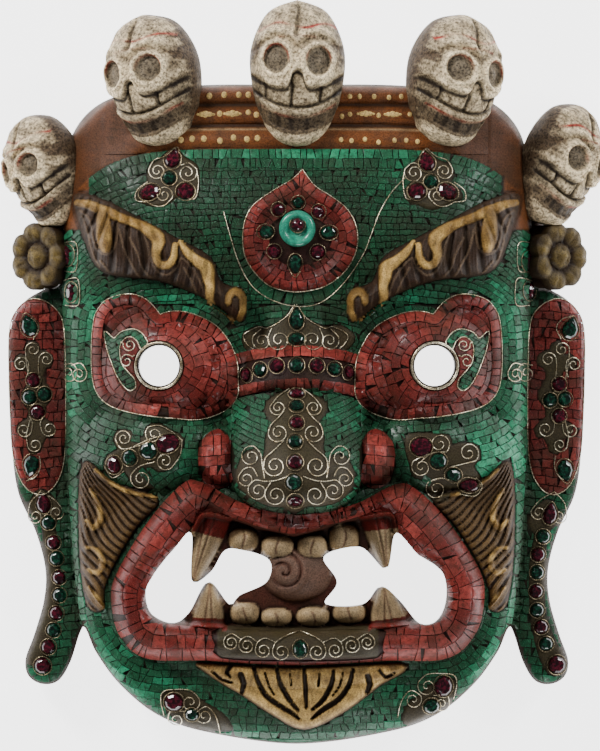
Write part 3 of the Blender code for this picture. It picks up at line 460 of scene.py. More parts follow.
# comb lines of the hair: the middle that they spread from, their bend, wave and spacing
hairPlan = {
    "brow": {"middle": (131, 178), "bend": -0.18, "wave": 8, "spacing": 0.105, "fine": 0.021, "turn": None},
    "beard": {"middle": (152, -38), "bend": 0.30, "wave": 7, "spacing": 0.066, "fine": 0.0165,
              "turn": 2 * math.pi},
}


def hairs(places, plan):
    away = np.hypot(places[:, 0] - plan["middle"][0], places[:, 1] - plan["middle"][1])
    sweep = np.arctan2(places[:, 1] - plan["middle"][1], places[:, 0] - plan["middle"][0])
    if plan["turn"]:
        sweep = sweep % plan["turn"]
    sweep = sweep + plan["bend"] * (away / 100) ** 2 + 0.02 * np.sin(away / plan["wave"])
    comb = (0.5 - 0.5 * np.cos(sweep * 2 * math.pi / plan["spacing"])) ** 3
    return comb, 0.5 - 0.5 * np.cos(sweep * 2 * math.pi / plan["fine"])


def highest(lines, places):
    return np.maximum.reduce([taperedRidge(line, places) for line in lines])


def bridgeOffset(places):
    # 0 in the middle of the band over the nose, 1 and -1 at its edges
    plan = bridgeBand
    return (places[:, 1] - plan["height"] + plan["droop"] * places[:, 0] ** 2) / plan["halfHeight"]


def carve(places):
    # height of the carved front and the paint on it
    side = folded(places)
    mirrorSide = side * (-1, 1)
    colour = np.tile(np.array(woodPaint["resin"]), (len(places), 1))

    def brush(mask, name):
        colour[:] = colour + (np.array(woodPaint[name]) - colour) * np.clip(mask, 0, 1)[:, None]

    def line(at, width):
        return np.exp(-(at / width) ** 2)

    # the crown's mouldings
    rise = np.zeros(len(places))
    band = bandHeight(places)
    inCrown = band > crown["low"]
    for low, high, height in mouldings["bands"]:
        across = np.clip((band - low) / (high - low), 0, 1)
        rise += height * np.sin(math.pi * across) ** 0.7 * ease((mouldings["reach"] + 16 - side[:, 0]) / 16)
    brush(inCrown | ((side[:, 0] > crown["side"]) & (places[:, 1] > crown["sideLow"])), "crown")
    brush(0.5 * inCrown * ease((side[:, 0] - 84) / 36), "brown")
    # painted shade: darker in the grooves between the mouldings; painted highlight: cream lines along the
    # upper edges of two mouldings
    groove = sum(line(band - at, 1.1) for at in mouldings["grooves"])
    brush(0.9 * groove * ease((mouldings["reach"] + 8 - side[:, 0]) / 6), "umber")
    edgeLight = line(band - 192.4, 0.7) + 0.6 * line(band - 162.6, 0.7)
    brush(0.75 * edgeLight * ease((side[:, 1] - 140) / 8) * (side[:, 0] < mouldings["reach"]), "cream")
    streaks = wobble(places * (0.35, 1), 3, 1) + wobble(places * (1, 0.3), 4, 3)
    brush(0.35 * ease(streaks - 0.1) * inCrown, "brown")

    # the brows
    brow = depthInside(outlines["brow"], side)
    rise += 14 * roundOver(brow / 15) + mound(forms["browKnob"], places) * (brow > 0)
    comb, fine = hairs(side, hairPlan["brow"])
    rise += (1.4 - 2.4 * comb - 0.35 * fine) * ease(brow / 4)
    gilt = highest(browGilt, mirrorSide) * (brow > -2.5)
    rise += 3.6 * gilt
    traced = sum(ridge(path, mirrorSide, 0.9, 1) for path in browLines) * (brow > 1) * (gilt < 0.2)
    traced = np.minimum(traced, 1)
    rise += 0.9 * traced
    brush(ease((brow + 0.6) / 1.0), "brown")
    brush(0.9 * np.maximum(comb, 0.5 * fine) * ease((brow - 0.5) / 2), "umber")
    strandLight = line(comb - 0.12, 0.07) * (0.5 + 0.5 * wobble(places, 13))
    brush(0.55 * strandLight * (brow > 1), "strand")
    brush(0.8 * traced * (0.75 + 0.4 * wobble(places, 9)), "strand")
    brush(ease((gilt - 0.12) / 0.3), "oldGilt")
    # painted highlight: the gilt brighter toward the inner end of each brow, with random mottling
    toBright = ease((118 - side[:, 0]) / 50) * ease((side[:, 0] - 50) / 8)
    mottledAndHighlit = np.clip(0.05 + 0.75 * toBright + 0.4 * wobble(places, 6, 2), 0.04, 0.97)
    brush(ease((gilt - 0.4) / 0.35) * mottledAndHighlit, "gilt")
    brush(0.85 * ease((0.42 - np.abs(gilt - 0.02) * 6) / 0.4) * (gilt > 0) * (brow > 1), "umber")

    # the rims of the three eyes and the band over the nose
    pouch = depthInside(outlines["pouch"], side)
    rise += 6 * roundOver(pouch / 7) - 1.6 * line(pouch - 9.5, 1.3)
    brush(ease((pouch + 0.5) / 1.0), "redResin")

    third = depthInside(outlines["thirdEye"], places)
    rise += 5 * roundOver(third / 4) - 6 * ease((third - 5) / 10)
    brush(ease((third + 0.5) / 1.0), "redResin")

    offset = bridgeOffset(places)
    fade = ease((bridgeBand["halfWidth"] - side[:, 0]) / 8)
    rise += bridgeBand["rise"] * np.sqrt(np.clip(1 - offset ** 2, 0, 1)) * fade
    brush((np.abs(offset) < 1) & (side[:, 0] < bridgeBand["halfWidth"] - 19), "redResin")

    # the mouth
    outer = depthInside(outlines["outerLip"], places)
    inner = depthInside(outlines["innerLip"], places)
    inLip = np.minimum(outer, -inner)
    rise += mouthParts["lipRise"] * roundOver(inLip / mouthParts["lipHalfWidth"])
    rise -= mouthParts["depth"] * ease(inner / 4)
    teeth, kind, toothLine = toothShapes(places)
    rise += teeth * ease((inner + 1.5) / 3)
    brush(ease((outer + 0.5) / 1.0), "redResin")
    brush(ease((inner + 0.5) / 1.5), "gum")
    lipBed = (np.abs(places[:, 0] - 1) < 53) & (places[:, 1] < -168) & (places[:, 1] > -189.5)
    brush(lipBed * 1.0, "bed")
    stands = (inner > -0.6) * ease((teeth - 0.3) / 1.5)
    brush(stands * (kind == 1), "tooth")
    brush(stands * (kind == 3), "redGum")
    brush(stands * (kind == 2), "tongue")
    brush(stands * toothLine * 0.8, "gum")
    brush(0.5 * stands * (kind == 1) * ease((7 - teeth) / 6), "brown")

    # the beard beside the mouth
    beard = depthInside(outlines["beard"], side)
    comb, fine = hairs(side, hairPlan["beard"])
    rise += (6 * roundOver(beard / 6) + (1.6 - 2.6 * comb - 0.5 * fine) * ease(beard / 3))
    gilt = highest(beardGilt, mirrorSide) * (beard > -1)
    rise += 2.4 * gilt
    near = ease((-68 - side[:, 1]) / 60) * ease((150 - side[:, 0]) / 26)
    brush(ease((beard + 0.6) / 1.0), "brown")
    brush((0.35 + 0.6 * near) * ease((0.6 - comb) / 0.4) * (beard > 0.5), "bronze")
    brush((0.15 + 0.75 * near) * ease((0.4 - comb) / 0.3) * (1 - 0.7 * fine) * (beard > 0.8), "oldGilt")
    brush(0.8 * np.maximum(comb, 0.4 * fine) * ease((beard - 0.5) / 2), "umber")
    brush(ease((gilt - 0.2) / 0.4) * 0.8, "oldGilt")
    brush(ease((gilt - 0.6) / 0.3) * np.clip(0.2 + 0.6 * wobble(places, 5, 1), 0, 0.7), "gilt")

    # the flame under the lip
    lock = depthInside(outlines["chinLock"], places)
    cuts = highest(lockGrooves, places)
    streak = 0.5 + 0.5 * np.sin(places[:, 0] * 2.1 + places[:, 1] * 0.5 * np.sign(places[:, 0] - 4))
    rise += 6.5 * roundOver(lock / 6) - (3.6 * cuts + 0.35 * streak) * ease((lock + 0.5) / 2)
    brush(ease((lock + 0.6) / 1.0), "bronze")
    brush(0.9 * ease((lock - 0.4) / 1.5), "oldGilt")
    toTip = ease((-193 - places[:, 1]) / 22)
    lit = np.clip(0.30 + 0.5 * toTip + 0.4 * wobble(places, 5, 4), 0.1, 0.97) * (1 - 0.25 * streak)
    brush(lit * (1 - cuts) * ease((lock - 0.8) / 1.5), "gilt")
    brush(ease((cuts - 0.1) / 0.5) * (lock > -0.5), "umber")

    # the head's edge and the ears
    rise += mound(forms["chin"], places)
    height = bareHead(places) + swell(places) + rise
    edge = signedDepth(outlines["head"], places)
    height -= head["edgeRound"] * (1 - roundOver(edge / head["edgeRound"]))
    maskEdge = signedDepth(outlines["mask"], places)
    earFall = head["earDrop"] * (1 - roundOver(maskEdge / head["earEdge"]))
    ear = head["earBack"] + head["earThickness"] - earFall
    ear += head["earLean"] * (head["earReach"] - side[:, 0])
    panel = depthInside(outlines["earPanel"], side)
    ear += 2.4 * roundOver(panel / 3)
    overHead = edge > -0.5
    height = np.where(overHead, np.maximum(height, ear), ear)
    brush((panel > 0) & ~overHead, "redResin")
    for bed in beds.values():
        depth = depthInside(bed, places)
        height += 0.6 * ease((depth + 0.4) / 1.4) + 0.12 * wobble(places, 1.7) * (depth > 0.5)
        brush(ease((depth + 0.3) / 0.9), "bed")
    brush(1 - ease((maskEdge - 0.8) / 1.6), "bareWood")
    return height, colour


# a raster of the carved front, for everything that is laid on it
raster = {"step": 1.0, "low": (-206.0, -252.0), "size": (413, 505)}
rasterX = raster["low"][0] + raster["step"] * np.arange(raster["size"][0])
rasterY = raster["low"][1] + raster["step"] * np.arange(raster["size"][1])
rasterPlaces = np.column_stack([grid.ravel() for grid in np.meshgrid(rasterX, rasterY)])
rasterHeight = carve(rasterPlaces)[0].reshape(raster["size"][1], raster["size"][0])


def readRaster(values, places):
    places = np.atleast_2d(np.asarray(places, float))
    column = np.clip((places[:, 0] - raster["low"][0]) / raster["step"], 0, raster["size"][0] - 1.001)
    row = np.clip((places[:, 1] - raster["low"][1]) / raster["step"], 0, raster["size"][1] - 1.001)
    i, j = column.astype(int), row.astype(int)
    s, t = column - i, row - j
    return ((values[j, i] * (1 - s) + values[j, i + 1] * s) * (1 - t)
            + (values[j + 1, i] * (1 - s) + values[j + 1, i + 1] * s) * t)


def heightAt(places):
    return readRaster(rasterHeight, places)


def blurred(values, radius):
    kernel = np.ones(2 * radius + 1) / (2 * radius + 1)
    padded = np.pad(values, radius, mode="edge")
    rows = np.apply_along_axis(lambda line: np.convolve(line, kernel, "valid"), 1, padded)
    return np.apply_along_axis(lambda line: np.convolve(line, kernel, "valid"), 0, rows)


# 1 in grooves and -1 on crests, and the same over the large forms
rasterHollow = np.clip((blurred(rasterHeight, 3) - rasterHeight) / 2.2, -1, 1)
rasterValley = np.clip((blurred(rasterHeight, 10) - rasterHeight) / 7, -1, 1)
print("carving worked out")

# the camera looks straight down from far above, as the photo does
cameraPlan = {"height": 5.0, "span": 0.402, "x": 0.0022, "y": -0.0015, "facePlane": 0.06, "sensor": 36}
cameraData = bpy.data.cameras.new("camera")
cameraData.sensor_fit = "HORIZONTAL"
cameraData.sensor_width = cameraPlan["sensor"]
cameraData.lens = cameraPlan["sensor"] * (cameraPlan["height"] - cameraPlan["facePlane"]) / cameraPlan["span"]
cameraData.clip_end = 50
camera = bpy.data.objects.new("camera", cameraData)
camera.location = origin + Vector((cameraPlan["x"], cameraPlan["y"], cameraPlan["height"]))
bpy.context.collection.objects.link(camera)
bpy.context.scene.camera = camera

lights = {
    "upperLeft": {"at": (-1.35, 1.35, 1.35), "size": 0.6, "power": 52, "tint": (1, 0.985, 0.96)},
    "upperRight": {"at": (1.5, 1.0, 1.3), "size": 0.6, "power": 27, "tint": (0.97, 0.99, 1)},
    "high": {"at": (-0.5, 1.15, 2.2), "size": 0.4, "power": 5, "tint": (1, 1, 1)},
    "low": {"at": (0.3, -1.7, 0.95), "size": 0.7, "power": 15, "tint": (1, 1, 1)},
}
for name, light in lights.items():
    data = bpy.data.lights.new(name, "AREA")
    data.shape = "DISK"
    data.size = light["size"]
    data.energy = light["power"]
    data.color = light["tint"]
    lamp = bpy.data.objects.new(name, data)
    lamp.location = light["at"]
    lamp.rotation_euler = (-Vector(light["at"])).to_track_quat("-Z", "Y").to_euler()
    bpy.context.collection.objects.link(lamp)
worldPlan = {"colour": (0.95, 0.97, 1, 1), "strength": 0.15}
world = bpy.context.scene.world or bpy.data.worlds.new("world")
bpy.context.scene.world = world
world.use_nodes = True
sky = world.node_tree.nodes["Background"]
sky.inputs["Color"].default_value = worldPlan["colour"]
sky.inputs["Strength"].default_value = worldPlan["strength"]


# materials

def newMaterial(name):
    material = bpy.data.materials.new(name)
    material.use_nodes = True
    return material, material.node_tree, material.node_tree.nodes["Principled BSDF"]


def addNode(tree, kind, settings=None, **inputs):
    # inputs go by name, or by number as i0, i1 and so on
    node = tree.nodes.new(kind)
    for key, value in (settings or {}).items():
        setattr(node, key, value)
    for key, value in inputs.items():
        socket = node.inputs[int(key[1:])] if key[0] == "i" and key[1:].isdigit() else node.inputs[key]
        if isinstance(value, bpy.types.NodeSocket):
            tree.links.new(value, socket)
        else:
            socket.default_value = value
    return node


def mixColours(tree, factor, first, second, blend="MIX"):
    settings = {"data_type": "RGBA", "blend_type": blend}
    return addNode(tree, "ShaderNodeMix", settings, i0=factor, i6=first, i7=second).outputs[2]


def remap(tree, value, low, high, toLow=0.0, toHigh=1.0):
    node = addNode(tree, "ShaderNodeMapRange", None, i0=value, i1=low, i2=high, i3=toLow, i4=toHigh)
    return node.outputs[0]


def attribute(tree, name):
    return addNode(tree, "ShaderNodeAttribute", {"attribute_name": name})


def makeWeather():
    # dirt and mottling shared by all the finishes: two noises in object space
    group = bpy.data.node_groups.new("weather", "ShaderNodeTree")
    for name, usual in (("Size", 60), ("Grain Size", 700)):
        group.interface.new_socket(name, in_out="INPUT", socket_type="NodeSocketFloat").default_value = usual
    for name in ("Mottle", "Grain"):
        group.interface.new_socket(name, in_out="OUTPUT", socket_type="NodeSocketFloat")
    start = group.nodes.new("NodeGroupInput")
    end = group.nodes.new("NodeGroupOutput")
    where = group.nodes.new("ShaderNodeTexCoord").outputs["Object"]
    for number, (detail, roughness) in enumerate(((5.0, 0.62), (3.0, 0.6))):
        noise = addNode(group, "ShaderNodeTexNoise", None, Vector=where, Scale=start.outputs[number],
                        Detail=detail, Roughness=roughness)
        group.links.new(noise.outputs[0], end.inputs[number])
    return group


weather = makeWeather()


def addWeather(tree, size, grainSize):
    node = addNode(tree, "ShaderNodeGroup", {"node_tree": weather}, i0=size, i1=grainSize)
    return node.outputs[0], node.outputs[1]


def addBump(tree, shader, height, strength, distance):
    bump = addNode(tree, "ShaderNodeBump", None, Strength=strength, Distance=distance, Height=height)
    tree.links.new(bump.outputs[0], shader.inputs["Normal"])


def setShader(tree, shader, colour, roughness, **values):
    tree.links.new(colour, shader.inputs["Base Color"])
    tree.links.new(roughness, shader.inputs["Roughness"])
    for name, value in values.items():
        shader.inputs[shaderInputs[name]].default_value = value


shaderInputs = {"specular": "Specular IOR Level", "ior": "IOR", "coat": "Coat Weight",
                "coatRoughness": "Coat Roughness", "metallic": "Metallic"}
# colours for worn patches, grain specks, dirt and painted shade in grooves, and painted highlights on crests
dirtAndPaintedLight = {"worn": (0.035, 0.023, 0.013, 1), "lit": (1.9, 1.8, 1.6, 1), "pitted": (0.30, 0.25, 0.20, 1),
            "groove": (0.018, 0.011, 0.007, 1), "crest": (1.7, 1.6, 1.45, 1), "specular": 0.16}


def makePaint(name, roughness, grainDepth, dirt, mottleSize, grainSize, speckle):
    # painted and patinated wood: colour from the paint attribute, dirt and painted shade in the grooves,
    # painted highlights on the crests
    material, tree, shader = newMaterial(name)
    hollow = attribute(tree, "hollow").outputs[2]
    mottle, grain = addWeather(tree, mottleSize, grainSize)
    worn = remap(tree, mottle, 0.38, 0.66, 0.0, 0.5)
    colour = mixColours(tree, worn, attribute(tree, "paint").outputs[0], dirtAndPaintedLight["worn"])
    lit = remap(tree, grain, 0.45, 0.70, 0.0, speckle)
    colour = mixColours(tree, lit, colour, dirtAndPaintedLight["lit"], "MULTIPLY")
    pitted = remap(tree, grain, 0.50, 0.36, 0.0, speckle)
    colour = mixColours(tree, pitted, colour, dirtAndPaintedLight["pitted"], "MULTIPLY")
    # darker in the grooves: dirt and painted shade; lighter on the crests: painted highlight
    colour = mixColours(tree, remap(tree, hollow, 0.05, 0.75, 0.0, dirt), colour, dirtAndPaintedLight["groove"])
    crests = remap(tree, hollow, -0.75, -0.15, 0.35, 0.0)
    colour = mixColours(tree, crests, colour, dirtAndPaintedLight["crest"], "MULTIPLY")
    dull = remap(tree, mottle, 0.3, 0.7, roughness - 0.1, roughness + 0.15)
    setShader(tree, shader, colour, dull, specular=dirtAndPaintedLight["specular"])
    addBump(tree, shader, grain, 0.6, grainDepth)
    return material


carvedPaint = makePaint("carvedPaint", 0.5, 0.0004, 0.85, 70, 1000, 0.5)
bonePaint = makePaint("bonePaint", 0.6, 0.0006, 0.8, 190, 620, 0.85)


def paintMesh(mesh, colours, hollow=None):
    values = np.ones((len(mesh.vertices), 4))
    values[:, :3] = colours
    layer = mesh.attributes.new("paint", "FLOAT_COLOR", "POINT")
    layer.data.foreach_set("color", values.ravel())
    grooves = mesh.attributes.new("hollow", "FLOAT", "POINT")
    grooves.data.foreach_set("value", np.zeros(len(mesh.vertices)) if hollow is None else hollow)


def finishPiece(name, bm, material, replaces=(), smooth=True, sharp=None):
    mesh = bpy.data.meshes.new(name)
    bm.to_mesh(mesh)
    bm.free()
    mesh.materials.append(material)
    if smooth:
        mesh.shade_smooth()
    if sharp is not None:
        mesh.set_sharp_from_angle(angle=math.radians(sharp))
    piece = bpy.data.objects.new(name, mesh)
    bpy.context.collection.objects.link(piece)
    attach(piece, "root")
    if replaces:
        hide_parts(*replaces)
    return piece


def coordinates(mesh):
    values = np.empty(len(mesh.vertices) * 3)
    mesh.vertices.foreach_get("co", values)
    return values.reshape(-1, 3)


def nearestOnLoops(places):
    best = np.full(len(places), 1e9)
    nearest = np.array(places, float)
    for loop in edgeLoops:
        for start, stop in zip(loop, np.roll(loop, -1, axis=0)):
            run = stop - start
            along = np.clip((places - start) @ run / max(run @ run, 1e-9), 0, 1)
            candidate = start + along[:, None] * run
            distance = np.sum((places - candidate) ** 2, axis=1)
            closer = distance < best
            best[closer] = distance[closer]
            nearest[closer] = candidate[closer]
    return nearest


def inWood(places, margin):
    clear = depthInside(edgeLoops[0], places) > margin
    for hole in edgeLoops[1:]:
        clear &= depthInside(hole, places) < -margin
    return clear


def flat(verts):
    return np.array([vert.co.xy for vert in verts])


def trimmedGrid(low, high, step, keepWhere):
    # a grid between two corners, without the parts that keepWhere leaves out
    columns, rows = int((high[0] - low[0]) / step), int((high[1] - low[1]) / step)
    bm = bmesh.new()
    bmesh.ops.create_grid(bm, x_segments=columns, y_segments=rows, size=0.5)
    bmesh.ops.scale(bm, vec=(columns * step, rows * step, 1), verts=bm.verts)
    bmesh.ops.translate(bm, vec=((low[0] + high[0]) / 2, (low[1] + high[1]) / 2, 0), verts=bm.verts)
    kept = keepWhere(flat(bm.verts))
    bmesh.ops.delete(bm, geom=[vert for vert, keep in zip(bm.verts, kept) if not keep], context="VERTS")
    bmesh.ops.delete(bm, geom=[vert for vert in bm.verts if not vert.link_faces], context="VERTS")
    return bm


def woodGrid(step):
    # a grid trimmed to the wood, with its edge moved onto the real outlines
    low, high = edgeLoops[0].min(0) - step, edgeLoops[0].max(0) + step
    bm = trimmedGrid(low, high, step, lambda places: inWood(places, step * 0.4))
    edge = [vert for vert in bm.verts if vert.is_boundary]
    for vert, (x, y) in zip(edge, nearestOnLoops(flat(edge))):
        vert.co.x, vert.co.y = x, y
    return bm


def setHeights(verts, heights):
    for vert, height in zip(verts, heights):
        vert.co.z = height


def turnDownEdge(bm):
    # new corners under the sheet's free edges
    made = bmesh.ops.extrude_edge_only(bm, edges=[edge for edge in bm.edges if edge.is_boundary])["geom"]
    return [item for item in made if isinstance(item, bmesh.types.BMVert)]


carvingPlan = {"step": 1.62, "backStep": 4.5, "sink": 0.8, "resinMatch": 0.004, "wall": 3, "wallShade": 0.6,
               "backLight": 2.6, "sharp": 60}
patchPlan = {"brow": 0.62, "beard": 0.68, "chinLock": 0.62, "mouth": 0.72, "crown": 0.85, "skirt": 2.0,
             "dirt": 0.6}


def inPatch(name, places):
    # where each finer patch lies
    side = folded(places)
    if name in ("brow", "beard"):
        found = depthInside(outlines[name], side) > -0.7
    elif name == "chinLock":
        found = depthInside(outlines[name], places) > -0.7
    elif name == "mouth":
        found = depthInside(outlines["innerLip"], places) > -0.4
    else:
        found = (bandHeight(places) > crown["low"] - 1) & (side[:, 0] < 128)
    return found & inWood(places, 0.7)


def makePatch(name, label, low, high):
    # one finely carved part of the wood, as a sheet with its edge turned down
    bm = trimmedGrid(low, high, patchPlan[name], lambda places: inPatch(name, places))
    setHeights(bm.verts, carve(flat(bm.verts))[0])
    bmesh.ops.translate(bm, vec=(0, 0, -patchPlan["skirt"]), verts=turnDownEdge(bm))
    bmesh.ops.recalc_face_normals(bm, faces=bm.faces)
    bm.faces.ensure_lookup_table()
    if bm.faces[0].normal.z < 0:
        bmesh.ops.reverse_faces(bm, faces=bm.faces)
    toMetres(bm)
    piece = finishPiece(label, bm, carvedPaint, ["carved_mask"], True, carvingPlan["sharp"])
    places = inMillimetres(coordinates(piece.data))[:, :2]
    paintMesh(piece.data, carve(places)[1], readRaster(rasterHollow, places) * patchPlan["dirt"])
    print(label, len(piece.data.polygons), "faces")


def makeFaceCarving():
    bm = woodGrid(carvingPlan["step"])
    places = flat(bm.verts)
    heights, colours = carve(places)
    sunk = np.zeros(len(places), bool)                           # under the chips and under the finer patches
    for name in ("resin", "redResin"):
        sunk |= np.all(np.abs(colours - woodPaint[name]) < carvingPlan["resinMatch"], axis=1)
    for name in ("brow", "beard", "chinLock", "mouth", "crown"):
        sunk |= inPatch(name, places)
    setHeights(bm.verts, heights - carvingPlan["sink"] * sunk)
    lowered = turnDownEdge(bm)
    setHeights(lowered, backHeight(flat(lowered)))
    bmesh.ops.recalc_face_normals(bm, faces=bm.faces)
    toMetres(bm)
    if max(bm.faces, key=lambda face: face.calc_area()).normal.z < -0.5:
        bmesh.ops.reverse_faces(bm, faces=bm.faces)
    piece = finishPiece("faceCarving", bm, carvedPaint, ["carved_mask"], True,
                        carvingPlan["sharp"])
    places = inMillimetres(coordinates(piece.data))
    heights, colours = carve(places[:, :2])
    wall = heights - places[:, 2] > carvingPlan["wall"]
    colours[wall] = woodPaint["bareWood"]
    crownWall = wall & (places[:, 1] > crown["sideLow"])
    colours[crownWall] = np.array(woodPaint["crown"]) * carvingPlan["wallShade"]
    paintMesh(piece.data, colours, readRaster(rasterHollow, places[:, :2]) * ~wall)
    print("face carving:", len(piece.data.polygons), "faces")


def makeHollowBack():
    bm = woodGrid(carvingPlan["backStep"])
    places = flat(bm.verts)
    setHeights(bm.verts, backHeight(places))
    bmesh.ops.reverse_faces(bm, faces=bm.faces)
    toMetres(bm)
    piece = finishPiece("hollowBack", bm, carvedPaint, ["carved_mask"])
    gouged = 0.6 + 0.4 * wobble(places, 4)
    paintMesh(piece.data, np.array(woodPaint["bareWood"]) * carvingPlan["backLight"] * gouged[:, None])


makeFaceCarving()
makeHollowBack()
for name, label, low, high in (
        ("brow", "browLeft", (-152, 30), (-30, 122)), ("brow", "browRight", (30, 30), (152, 122)),
        ("beard", "beardLeft", (-149, -162), (-88, -56)), ("beard", "beardRight", (88, -162), (149, -56)),
        ("chinLock", "chinFlame", (-70, -241), (75, -190)),
        ("mouth", "mouthInside", (-104, -174), (104, -88)),
        ("crown", "crownBand", (-130, 146), (130, 196))):
    makePatch(name, label, low, high)


# the crown of five skulls

skullPlan = {
    # middle, half width, half height, half depth, height above the rim, turn, tilt in degrees
    "middle": (0.5, 199.5, 32, 49.5, 32, 82, 0, 0),
    "left": (-94, 195.5, 31, 44.5, 32, 77, -30, 9),
    "right": (103.5, 195.5, 31, 44.5, 32, 77, 30, -9),
    "farLeft": (-167.5, 136.5, 26.5, 38.5, 24.5, 44, -48, 18),
    "farRight": (175.5, 140.5, 27, 42, 25, 44, 48, -18),
}
skullForm = {
    "cover": 2.5,                                                # wood left between a skull and the hollow
    "edge": [(0, 1), (0.62, 0.83), (0.97, 0.35), (0.95, -0.15), (0.74, -0.62), (0.4, -0.94), (0, -1)],
    "socket": (0.44, 0.17, 0.24, 0.185),                         # middle, half width, half height
    "cheekLine": [(0, 0.02), (0.1, -0.02), (0.2, -0.2), (0.38, -0.215), (0.6, -0.17), (0.85, -0.07),
                  (1.1, 0.03)],
    "mouth": (-0.47, 0.30), "lowerMouth": (-0.70, 0.36),         # height and curl of the two dark lines
    "gaps": [(-0.66, 0.035), (-0.12, 0.04), (0.47, 0.035)],      # between the teeth
    "lowGaps": [(-0.4, 0.05), (-0.13, 0.06), (0.2, 0.04)],
}
bone = {"pale": (0.92, 0.76, 0.50), "brown": (0.078, 0.052, 0.031), "red": (0.26, 0.016, 0.014),
        "dark": (0.012, 0.008, 0.006), "disc": (0.170, 0.140, 0.100)}


